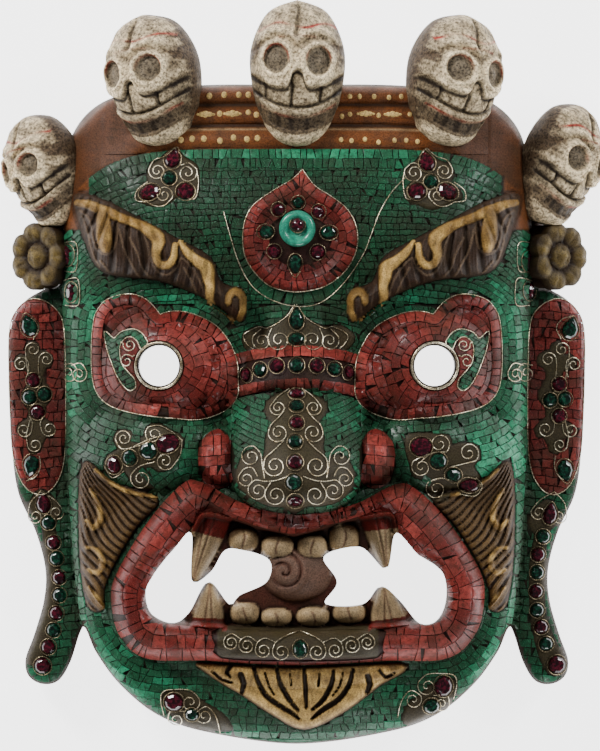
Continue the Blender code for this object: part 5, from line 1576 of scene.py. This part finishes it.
# painted highlights on the chips and darker patches, in pixels: middle, reach each way, amount
chipHighlightsAndDarkPatches = {
    "green": [(300, 154, 150, 9, 0.55), (118, 182, 40, 22, -0.35), (478, 180, 40, 22, -0.15),
              (92, 450, 26, 40, -0.3), (290, 205, 130, 36, -0.5), (300, 270, 90, 26, -0.3),
              (180, 300, 50, 16, 0.6), (420, 295, 50, 16, 0.5), (500, 320, 14, 40, 0.4),
              (88, 320, 12, 50, 0.3), (495, 455, 26, 36, 0.75), (190, 430, 18, 16, 0.35),
              (250, 425, 16, 30, -0.1), (340, 425, 14, 26, 0.1), (150, 690, 40, 20, 0.25),
              (390, 690, 40, 20, 0.2), (120, 660, 20, 30, 0.2), (490, 640, 14, 40, 0.2)],
    "red": [(205, 345, 26, 26, 0.75), (150, 412, 40, 8, 0.45), (215, 455, 14, 22, 0.3),
            (368, 455, 14, 22, 0.3), (370, 340, 20, 20, 0.35), (300, 355, 40, 6, 0.35),
            (300, 395, 40, 6, 0.25), (130, 600, 16, 40, -0.2),
            (250, 500, 40, 14, 0.25), (200, 655, 50, 8, 0.4), (400, 655, 60, 8, 0.3),
            (300, 185, 22, 14, 0.55),
            (350, 220, 14, 30, 0.25), (300, 240, 34, 30, -0.35), (450, 330, 20, 12, 0.2)],
}


def tintChips(colour):
    deep, usual, bright = (np.array(value) for value in inlayTints[colour])

    def tintOf(centres, dice):
        level = np.full(len(centres), 0.42)
        # painted highlights and darker patches from the table
        for px, py, reachX, reachY, amount in chipHighlightsAndDarkPatches[colour]:
            x, y = spot(px, py)
            level += amount * np.exp(-(((centres[:, 0] - x) / (reachX * photo["scale"])) ** 2
                                       + ((centres[:, 1] - y) / (reachY * photo["scale"])) ** 2))
        # painted shade: chips darker in the hollows of the large forms, and a painted highlight lighter on
        # their crests
        level -= 0.42 * readRaster(rasterValley, centres) + 0.06
        level += 0.13 * wobble(centres, 26) + np.array([dice.gauss(0, 0.13) for _ in centres])
        level = np.clip(level, 0, 1)[:, None]
        low = deep + (usual - deep) * np.clip(level * 2, 0, 1)
        return low + (bright - usual) * np.clip(level * 2 - 1, 0, 1)

    return tintOf


for number, (name, region) in enumerate(regions.items()):
    dice = random.Random(number + 11)
    colour = "green" if name.startswith("green") else "red"
    cells = cutChips(region, dice)
    layInlay(name, cells, inlay[colour], tintChips(colour), dice)
print("inlay laid")

# set stones: faceted glass, each in a beaded bezel

stonePlan = {"radius": 5.0, "share": 0.92, "rise": 2.6, "culet": -0.1, "table": 0.78, "seat": 0.3,
             "bezelGap": 0.7, "bezelLift": 0.75, "narrowing": 0.45, "stretch": 0.25}
wirePlan = {"radius": 0.36, "pitch": 1.1, "beadPitch": 0.62, "beads": (0.5, 1.25), "feel": 0.7,
            "overChips": 0.85, "overBed": 0.3}
cadStones = {                                                    # middle, size, turn, colour, shape
    "third_eye": [(1, 113.5, 0.9, 0.85, 0, "green"), (-12.2, 108.8, 0.92, 0.92, 0, "red"),
                  (14.6, 107.4, 0.92, 0.92, 0, "red"), (-20.6, 94, 1.15, 0.95, 0, "green"),
                  (21.4, 93.4, 1.2, 0.95, 0, "green"), (-15, 81, 0.95, 0.95, 0, "red"),
                  (14, 80.5, 1, 1, 0, "red"), (-1, 72.5, 0.95, 1.4, 180, "green", "drop")],
    "bridge": [(-33.5, -1.2, 0.72, 1.05, 20, "red"), (-24.3, 2.4, 0.93, 1, 0, "green"),
               (-13.3, 5, 1, 1, 0, "red"), (0, 5.4, 1.05, 1.05, 0, "green"), (13.4, 5, 1, 1, 0, "red"),
               (25.2, 3, 0.95, 0.95, 0, "green"), (34.4, 0.6, 0.72, 1, -16, "red")],
    "nose": [(0, 35.6, 1, 1.45, 0, "green", "drop"), (0, 22.6, 1.2, 0.9, 0, "green"),
             (0, -13.6, 1.1, 0.7, 0, "red"), (0, -21.6, 1, 0.85, 0, "green"), (0, -32.6, 1, 1, 0, "red"),
             (-1, -45, 1, 1, 0, "green"),
             (-1, -58.4, 1.08, 1.08, 0, "red"), (-2, -71.6, 1.1, 1.1, 0, "green"),
             (-1, -84, 1.1, 0.95, 0, "red")],
    "forehead_left": [(-82.5, 142.5, 1.15, 1.35, -20, "red", "drop"), (-84.8, 130, 1, 1, 0, "green"),
                      (-98, 120.5, 1.5, 1.1, 20, "red"), (-74, 121, 1.3, 1.2, 0, "red")],
    "forehead_right": [(86.8, 140.5, 1.15, 1.35, 12, "red", "drop"), (89.4, 127.5, 1, 1, 0, "green"),
                       (80, 121, 1.3, 1.2, 0, "red"), (100.5, 121, 1.5, 1.15, -24, "red")],
    "cheek_left": [(-85.6, -46.6, 1.7, 1.3, 20, "red"), (-98.4, -51.3, 1.2, 1.2, 0, "green"),
                   (-111, -56.2, 1.05, 1.1, 0, "green"), (-121.6, -61, 1.1, 1.25, 0, "red")],
    "cheek_right": [(82.6, -48.8, 1.55, 1.35, 0, "red"), (94, -58.2, 1.2, 1.15, 0, "green"),
                    (104.2, -67.6, 1.2, 1, -20, "green"), (114.6, -74.6, 1.5, 1, -6, "red")],
    "lip": [(2.4, -182.6, 1, 1.25, 0, "green")],
    "chin": [(-82, -219.6, 1.4, 1.3, 0, "red"), (-70, -228, 1, 0.9, 0, "green"),
             (98, -209, 1.3, 1.5, 0, "red"), (90, -222.4, 1.2, 1.1, 0, "green")],
}
# stones of the ears and temples, in pixels of the photo: middle, size, turn, colour, shape
sideStones = {
    "left": [(27, 327, 1.25, 1.5, 20, "green", "drop"), (31, 381, 1, 1, 0, "red"),
             (27, 398, 1.05, 1.05, 0, "green"), (42, 395, 1, 1, 0, "green"),
             (35, 413, 1.05, 1.05, 0, "red"), (29, 466, 1.2, 1.5, 170, "green", "drop"),
             (41, 505, 1.05, 1.4, 10, "red", "drop"), (46, 524, 1, 1, 0, "green"), (51, 544, 1, 1, 0, "red"),
             (54, 560, 1, 1, 0, "green"), (57, 579, 1, 1, 0, "red"), (57, 597, 1, 1, 0, "green"),
             (54, 615, 1, 1, 0, "red"), (51, 632, 1, 1, 0, "green"), (46, 649, 1.05, 1.05, 0, "red"),
             (40, 668, 1.2, 1.2, 0, "red"), (66, 256, 1.0, 1.5, 0, "red"), (70, 293, 0.9, 1.4, 0, "red")],
    "right": [(570, 330, 1.25, 1.5, -16, "green", "drop"), (559, 385, 1, 1, 0, "red"),
              (550, 401, 1, 1, 0, "green"), (565, 400, 1, 1, 0, "green"), (559, 417, 1, 1, 0, "red"),
              (565, 471, 1.2, 1.5, 190, "green", "drop"), (550, 516, 1.05, 1.4, -10, "red", "drop"),
              (543, 538, 1, 1, 0, "green"), (538, 556, 1, 1, 0, "red"), (537, 574, 1, 1, 0, "green"),
              (536, 593, 1, 1, 0, "red"), (537, 612, 1, 1, 0, "green"), (541, 629, 1, 1, 0, "red"),
              (546, 646, 1, 1, 0, "green"), (557, 667, 1.3, 1.3, 0, "red"), (528, 262, 1.0, 1.5, 0, "red"),
              (529, 291, 0.9, 1.4, 0, "red")],
}


def makeGlass(name, deep, lit):
    # dark cut glass with lighter clouds
    material, tree, shader = newMaterial(name)
    mottle, grain = addWeather(tree, 420, 2200)
    colour = mixColours(tree, remap(tree, mottle, 0.45, 0.66), deep, lit)
    setShader(tree, shader, colour, remap(tree, grain, 0.3, 0.8, 0.03, 0.14),
              ior=1.6, specular=0.42, coat=0.12, coatRoughness=0.03)
    return material


glass = {"red": makeGlass("redGlass", (0.012, 0.001, 0.003, 1), (0.105, 0.005, 0.018, 1)),
         "green": makeGlass("greenGlass", (0.001, 0.007, 0.004, 1), (0.005, 0.060, 0.032, 1))}


def makeSilver(name, bright, dull):
    # gilt wire, tarnished in patches
    material, tree, shader = newMaterial(name)
    mottle, grain = addWeather(tree, 130, 1100)
    tarnish = mixColours(tree, remap(tree, mottle, 0.4, 0.66), bright, dull)
    beaded = mixColours(tree, remap(tree, grain, 0.52, 0.40, 0.0, 0.85), tarnish, (0.10, 0.07, 0.035, 1))
    setShader(tree, shader, beaded, remap(tree, grain, 0.3, 0.7, 0.22, 0.4), metallic=0.85)
    return material


giltWire = makeSilver("giltWire", (0.86, 0.78, 0.58, 1), (0.38, 0.29, 0.16, 1))
bezelWire = makeSilver("bezelWire", (0.42, 0.34, 0.21, 1), (0.10, 0.07, 0.035, 1))
wires = {}
around = np.array([(0, 0), (1, 0), (-1, 0), (0, 1), (0, -1)])     # a place and its four neighbours


def bendCurl(path, curl):
    # a path that winds into a spiral round the curl's middle
    line = smoothCurve(path, False, 0.5) if len(path) > 1 else np.array(path, float)
    if curl is None:
        return line
    (cx, cy), turns, hand = curl
    reach = np.hypot(line[-1][0] - cx, line[-1][1] - cy)
    first = math.atan2(line[-1][1] - cy, line[-1][0] - cx)
    share = np.linspace(0, 1, max(12, int(turns * reach * 7)))[1:]
    turn = first + hand * share * turns * 2 * math.pi
    radius = reach * (1 - share) ** 0.9 + 0.9 * share
    return np.vstack((line, np.column_stack((cx + radius * np.cos(turn), cy + radius * np.sin(turn)))))


def addWire(group, path, kind="plain", curl=None, closed=False, lift=None):
    line = bendCurl(path, curl)
    if closed:
        line = np.vstack((line, line[:1]))
    reach = runningLength(line)
    pitch = wirePlan["beadPitch" if kind == "beaded" else "pitch"]
    count = max(2, round(reach[-1] / pitch))
    count += count % 2
    at = np.linspace(0, reach[-1], count + 1)[:-1 if closed else None]
    places = placesAlong(line, reach, at)
    top = np.maximum.reduce([heightAt(places + offset) for offset in around * wirePlan["feel"]])
    if lift is None:
        lift = np.where(offBeds(places), wirePlan["overChips"], wirePlan["overBed"])
    odd = np.arange(len(places)) % 2
    radii = np.where(odd, *wirePlan["beads"]) if kind == "beaded" else np.ones(len(places))
    wires.setdefault(group, []).append((np.column_stack((places, top + lift)), radii, closed))


def finishWires():
    for group, lines in wires.items():
        curve = bpy.data.curves.new(group, "CURVE")
        curve.dimensions = "3D"
        curve.bevel_depth = wirePlan["radius"] / 1000
        curve.bevel_resolution = 1
        curve.use_fill_caps = True
        for points, radii, closed in lines:
            spline = curve.splines.new("POLY")
            spline.points.add(len(points) - 1)
            values = np.ones((len(points), 4))
            values[:, :3] = placeAll(points)
            spline.points.foreach_set("co", values.ravel())
            spline.points.foreach_set("radius", radii)
            spline.use_cyclic_u = closed
        curve.materials.append(bezelWire if group == "bezels" else giltWire)
        piece = bpy.data.objects.new(group, curve)
        bpy.context.collection.objects.link(piece)
        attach(piece, "root")
        print(group, len(lines), "wires")


def setStone(name, x, y, wide, high, turn, colour, shape="round", node=None):
    # a faceted stone, tipped with the wood under it, and its bezel
    plan = stonePlan
    radius = plan["radius"] * plan["share"]
    narrowing, stretching = (plan["narrowing"], plan["stretch"]) if shape == "drop" else (0, 0)
    bm = bmesh.new()
    bmesh.ops.create_uvsphere(bm, u_segments=9, v_segments=8, radius=1)
    for level, facing in ((plan["culet"], -1), (plan["table"], 1)):
        bmesh.ops.bisect_plane(bm, geom=bm.verts[:] + bm.edges[:] + bm.faces[:], plane_co=(0, 0, level),
                               plane_no=(0, 0, facing), clear_outer=True)
    bmesh.ops.holes_fill(bm, edges=[edge for edge in bm.edges if edge.is_boundary])
    for vert in bm.verts:
        up = max(0, vert.co.y)
        vert.co = (vert.co.x * radius * wide * (1 - narrowing * up ** 1.4),
                   vert.co.y * radius * high * (1 + stretching * up),
                   vert.co.z * plan["rise"] / plan["table"])
    heights = heightAt(np.array([(x, y)]) + 0.6 * plan["radius"] * around)
    slopes = np.array([-(heights[1] - heights[2]), -(heights[3] - heights[4]), 1.2 * plan["radius"]])
    upright = Vector((0, 0, 1)).rotation_difference(Vector(slopes)).to_matrix().to_4x4()
    base = max(heights.mean(), heights[0]) + plan["seat"]
    putAt(bm, (x, y, base), upright, turnAbout("Z", turn))
    bmesh.ops.recalc_face_normals(bm, faces=bm.faces)
    finishPiece(name, bm, glass[colour], [node] if node else (), False)
    edge = angles[::2]
    up = np.clip(np.sin(edge), 0, 1)
    ringX = np.cos(edge) * (radius * wide + plan["bezelGap"]) * (1 - narrowing * up ** 1.4)
    ringY = np.sin(edge) * (radius * high + plan["bezelGap"]) * (1 + stretching * up)
    angle = math.radians(turn)
    ring = np.column_stack((x + ringX * math.cos(angle) - ringY * math.sin(angle),
                            y + ringX * math.sin(angle) + ringY * math.cos(angle)))
    addWire("bezels", ring, "beaded", closed=True, lift=plan["bezelLift"])


thirdEyePlan = {"x": 0.4, "y": 96, "radius": 12.1, "height": 5.0, "bead": 4.6, "beadAt": (0.2, 2.4),
                "sunk": 0.5}


def turned(name, profilePoints, material, node, x, y, base, steps=48):
    # a round piece spun from its profile and set upright on the wood
    bm = bmesh.new()
    points = [bm.verts.new((reach, 0, tall)) for reach, tall in profilePoints]
    edges = [bm.edges.new(pair) for pair in zip(points, points[1:])]
    bmesh.ops.spin(bm, geom=points + edges, axis=(0, 0, 1), cent=(0, 0, 0), angle=2 * math.pi, steps=steps,
                   use_merge=True)
    bmesh.ops.remove_doubles(bm, verts=bm.verts, dist=1e-4)
    bmesh.ops.recalc_face_normals(bm, faces=bm.faces)
    bmesh.ops.translate(bm, vec=(x, y, base), verts=bm.verts)
    toMetres(bm)
    finishPiece(name, bm, material, [node], True, 50)


def makeTurquoise():
    material, tree, shader = newMaterial("turquoise")
    mottle, grain = addWeather(tree, 210, 1100)
    clouds = remap(tree, mottle, 0.36, 0.68)
    colour = mixColours(tree, clouds, (0.035, 0.33, 0.21, 1), (0.012, 0.13, 0.085, 1))
    veins = mixColours(tree, remap(tree, grain, 0.6, 0.75, 0, 0.6), colour, (0.16, 0.5, 0.38, 1))
    setShader(tree, shader, veins, remap(tree, grain, 0.3, 0.7, 0.16, 0.3))
    return material


def makeThirdEye():
    # the turquoise disc, the bead on it and the bead's own bezel
    plan = thirdEyePlan
    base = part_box("third_eye_disc")[0].z * 1000 - plan["sunk"]
    radius, tall, bead = plan["radius"], plan["height"], plan["bead"]
    ring = [(0, 2.2), (bead + 0.4, 2.2), (bead + 1.6, 3.0), (radius - 4.2, tall),
            (radius - 2.6, tall + 0.7), (radius - 1.0, tall), (radius, tall - 1.6), (radius, 0)]
    turned("turquoiseDisc", ring, makeTurquoise(), "third_eye_disc", plan["x"], plan["y"], base)
    dome = [(bead, 2.3), (bead, 4.4), (bead * 0.86, 6.2), (bead * 0.55, 7.5), (0, 8.0)]
    x, y = plan["x"] + plan["beadAt"][0], plan["y"] + plan["beadAt"][1]
    turned("thirdEyeBead", dome, glass["red"], "third_eye_bead", x, y, base, 24)
    circle = np.column_stack((np.cos(angles), np.sin(angles)))
    addWire("bezels", circle * (bead + 0.6) + (x, y), closed=True,
            lift=base + 4.0 - heightAt([(plan["x"], plan["y"])])[0])


ringPlan = {"radius": 15.3, "wire": 0.85, "segments": 12, "steps": 72, "lift": 0.9}


def makeEyeRings():
    # a brass wire round each eye hole, following the wood
    for name, side, node in (("eyeRingLeft", -1, "eye_ring_left"), ("eyeRingRight", 1, "eye_ring_right")):
        middle = (side * eyeHole["x"], eyeHole["y"])
        bm = bmesh.new()
        bmesh.ops.create_circle(bm, segments=ringPlan["segments"], radius=ringPlan["wire"])
        bmesh.ops.rotate(bm, matrix=Matrix.Rotation(math.pi / 2, 3, "X"), verts=bm.verts)
        bmesh.ops.translate(bm, vec=(ringPlan["radius"], 0, 0), verts=bm.verts)
        bmesh.ops.spin(bm, geom=bm.verts[:] + bm.edges[:], axis=(0, 0, 1), cent=(0, 0, 0), angle=2 * math.pi,
                       steps=ringPlan["steps"], use_merge=True)
        bmesh.ops.remove_doubles(bm, verts=bm.verts, dist=1e-4)
        bmesh.ops.recalc_face_normals(bm, faces=bm.faces)
        bmesh.ops.translate(bm, vec=(*middle, 0), verts=bm.verts)
        offsets = flat(bm.verts) - middle
        under = offsets / np.hypot(*offsets.T)[:, None] * ringPlan["radius"] + middle
        for vert, height in zip(bm.verts, heightAt(under)):
            vert.co.z += height + ringPlan["lift"]
        toMetres(bm)
        finishPiece(name, bm, giltWire, [node])


makeThirdEye()
makeEyeRings()


def capitals(words):
    parts = words.split("_")
    return parts[0] + "".join(part.capitalize() for part in parts[1:])


for group, stones in cadStones.items():
    for number, stone in enumerate(stones, 1):
        setStone(capitals("stone_" + group) + str(number), *stone, node=f"stone_{group}_{number}")
for side, stones in sideStones.items():
    for number, (px, py, *shape) in enumerate(stones, 1):
        setStone("stoneEar" + side.capitalize() + str(number), *spot(px, py), *shape)
print("stones set")


# filigree, in pixels of the photo: kind, path, then the middle, turns and hand of a spiral

leftFiligree = {
    "filigreeNose": (294.5, [
        ("plain", [(288, 389), (277, 397), (269, 407)], (277, 408), 1.6, 1),
        ("plain", [(284, 408), (278, 417), (270, 425), (267.5, 433)], (277.5, 432.5), 1.6, 1),
        ("plain", [(283, 440), (274, 449), (265, 457), (263, 465)], (274, 465), 1.6, 1),
        ("beaded", [(264, 477), (262, 465), (260, 453), (254, 446)], (250.5, 456), 1.5, 1),
        ("beaded", [(287, 475), (276, 479), (265, 480), (255, 479), (249, 484)], (257.5, 489.5), 1.5, 1),
        ("plain", [(270, 481), (265, 489)], (275, 493.5), 1.6, 1),
        ("beaded", [(257, 475), (252, 467), (244, 468), (238.5, 475)], (246, 478), 1.4, 1)]),
    "filigreeBridge": (294.5, [
        ("beaded", [(293.5, 306), (284, 319), (267, 329), (257, 328), (243, 336), (246, 345), (252, 350)],
         None, 0, 1),
        ("plain", [(271, 329), (267.5, 337)], (278, 341), 1.6, 1),
        ("plain", [(260, 330), (252.5, 337)], (261, 342), 1.6, 1)]),
    "filigreeLip": (298, [
        ("plain", [(297, 629), (284, 634), (275, 640), (272.5, 645)], (280.5, 649.5), 1.7, 1),
        ("plain", [(274, 640), (264, 636), (257, 640), (255, 645)], (262.5, 648), 1.6, 1),
        ("plain", [(257, 640), (248, 634.5), (241, 637), (238.5, 641)], (246, 643.5), 1.6, 1),
        ("plain", [(240, 637), (232, 632), (226, 634), (223.5, 638)], (230.5, 640.5), 1.6, 1)]),
    "filigreeForehead": (299.5, [
        ("plain", [(174, 150), (165, 158), (154, 162), (148.5, 171)], (157, 173), 1.6, 1),
        ("plain", [(174, 150), (181, 158), (180, 167), (188, 165), (196, 171)], (187, 175), 1.6, -1),
        ("beaded", [(196, 171), (198, 185), (194, 201), (179, 197)], None, 0, 1),
        ("plain", [(147, 204), (155, 208), (164, 207.5), (172, 200)], (163.5, 197), 1.6, 1),
        ("beaded", [(147, 204), (136, 202), (137, 192), (147, 184)], None, 0, 1)]),
    "filigreeEars": (296.2, [
        ("plain", [(27, 380), (24, 364), (23, 350)], (30.5, 350), 1.5, -1),
        ("plain", [(38, 384), (36, 370), (36.5, 359)], (44, 360), 1.5, -1),
        ("plain", [(24, 378), (26.5, 370), (25.5, 362)], (18.5, 365), 1.5, 1),
        ("plain", [(28, 420), (24, 436), (25, 445)], (32.5, 446), 1.5, 1),
        ("plain", [(27, 417), (30, 424), (29, 432)], (21.5, 431), 1.5, -1),
        ("plain", [(41, 417), (38, 424), (39, 431)], (47, 430), 1.5, 1),
        ("beaded", [(38, 493), (28, 504), (25.5, 516)], (33, 518), 1.5, 1),
        ("beaded", [(38, 493), (52, 501), (61.5, 512)], (54, 514), 1.5, -1),
        ("beaded", [(22, 317), (31, 320), (36, 329), (31, 340)], None, 0, 1),
        ("beaded", [(37, 457), (38, 468), (33, 478), (24, 482)], None, 0, 1),
        ("beaded", [(60, 244), (74, 243), (77, 256), (74, 272), (60, 271)], None, 0, 1),
        ("beaded", [(62, 281), (76, 279), (79, 292), (77, 306), (64, 306)], None, 0, 1),
        ("plain", [(60, 366), (70, 364)], (67, 374), 1.5, -1),
        ("plain", [(70, 366), (80, 364), (86, 372)], (78, 375), 1.5, -1)]),
    "filigreeChin": (307.5, [
        ("beaded", [(163, 715), (160, 700), (163, 691), (177, 689), (190, 690), (198, 697)],
         (189.5, 702), 1.4, -1),
        ("beaded", [(219, 733), (215, 716), (206, 706), (196, 711)], (203.5, 715.5), 1.4, 1),
        ("plain", [(183, 711), (170, 711), (167, 719)], (175, 720), 1.4, 1)]),
}
cheekFiligree = [
    ("plain", [(150, 442), (135, 447), (122, 449), (116, 441)], (124, 438.5), 1.6, -1),
    ("beaded", [(133, 447), (146, 441), (160, 437), (182, 440)], None, 0, 1),
    ("plain", [(182, 440), (172, 432), (160, 426), (149, 427)], (154, 434.5), 1.5, 1),
    ("plain", [(182, 440), (180, 455), (172, 467)], (165, 461), 1.6, -1),
    ("plain", [(155, 462), (140, 466), (131.5, 474)], (141, 479), 1.6, 1),
    ("beaded", [(104, 466), (112, 478), (124, 471)], None, 0, 1),
    ("plain", [(419, 461), (430, 453), (444, 452)], (437, 444), 1.5, 1),
    ("plain", [(434, 452), (421, 456), (411, 461)], (419, 467), 1.5, 1),
    ("plain", [(448, 467), (460, 464), (473, 461)], (466, 453), 1.5, 1),
    ("plain", [(450, 481), (438, 478), (426, 482)], (434, 489), 1.5, 1),
    ("beaded", [(474, 478), (480, 486), (473, 496), (458, 494)], None, 0, 1),
]


def drawFiligree(group, kind, path, middle, turns, hand):
    curl = (spot(*middle), turns, hand) if middle else None
    addWire(group, spots(path), kind, curl)


for group, (axis, lines) in leftFiligree.items():
    drop = -16 if group == "filigreeChin" else 0
    for kind, path, middle, turns, hand in lines:
        drawFiligree(group, kind, path, middle, turns, hand)
        across = [(2 * axis - x, y + drop) for x, y in path]
        turnsRound = (2 * axis - middle[0], middle[1] + drop) if middle else None
        drawFiligree(group, kind, across, turnsRound, turns, -hand)
for line in cheekFiligree:
    drawFiligree("filigreeCheeks", *line)

# brass lines let in along the edges of the inlay
addWire("edgeWires", outlines["thirdEye"], closed=True, lift=0.7)
addWire("edgeWires", spots([(223, 214), (229, 236), (238, 264), (250, 286), (268, 300), (293, 307.5),
                            (318, 304.5), (341, 286), (361, 257), (370, 235), (378, 214), (390, 194),
                            (403, 180)]), lift=0.75)
for side, comma in ((-1, "comma"), (1, "commaRight")):
    addWire("edgeWires", outlines["pouch"] * (side, 1), closed=True, lift=0.5)
    addWire("edgeWires", zones[comma], closed=True, lift=0.75)
    addWire("edgeWires", outlines["earPanel"] * (side, 1), closed=True, lift=0.6)
    for middle, first in (((130, 346), (121, 343)), ((127, 362), (135, 356))):
        middle, start = spots([middle, first]) * (-side, 1)
        addWire("edgeWires", [start, start * 0.7 + middle * 0.3], curl=(tuple(middle), 1.4, -side), lift=0.75)
finishWires()

floorPlan = {"size": 4.0, "colour": (0.86, 0.87, 0.88, 1), "roughness": 0.8, "light": 3.4, "z": -0.0004}
floorMesh = bmesh.new()
bmesh.ops.create_grid(floorMesh, x_segments=1, y_segments=1, size=floorPlan["size"])
floorData = bpy.data.meshes.new("floor")
floorMesh.to_mesh(floorData)
floorMesh.free()
floorMaterial, _, floorShader = newMaterial("floor")
floorShader.inputs["Base Color"].default_value = floorPlan["colour"]
floorShader.inputs["Roughness"].default_value = floorPlan["roughness"]
floorShader.inputs["Emission Color"].default_value = (1, 1, 1, 1)
floorShader.inputs["Emission Strength"].default_value = floorPlan["light"]
floorData.materials.append(floorMaterial)
floor = bpy.data.objects.new("floor", floorData)
floor.location.z = floorPlan["z"]
bpy.context.collection.objects.link(floor)
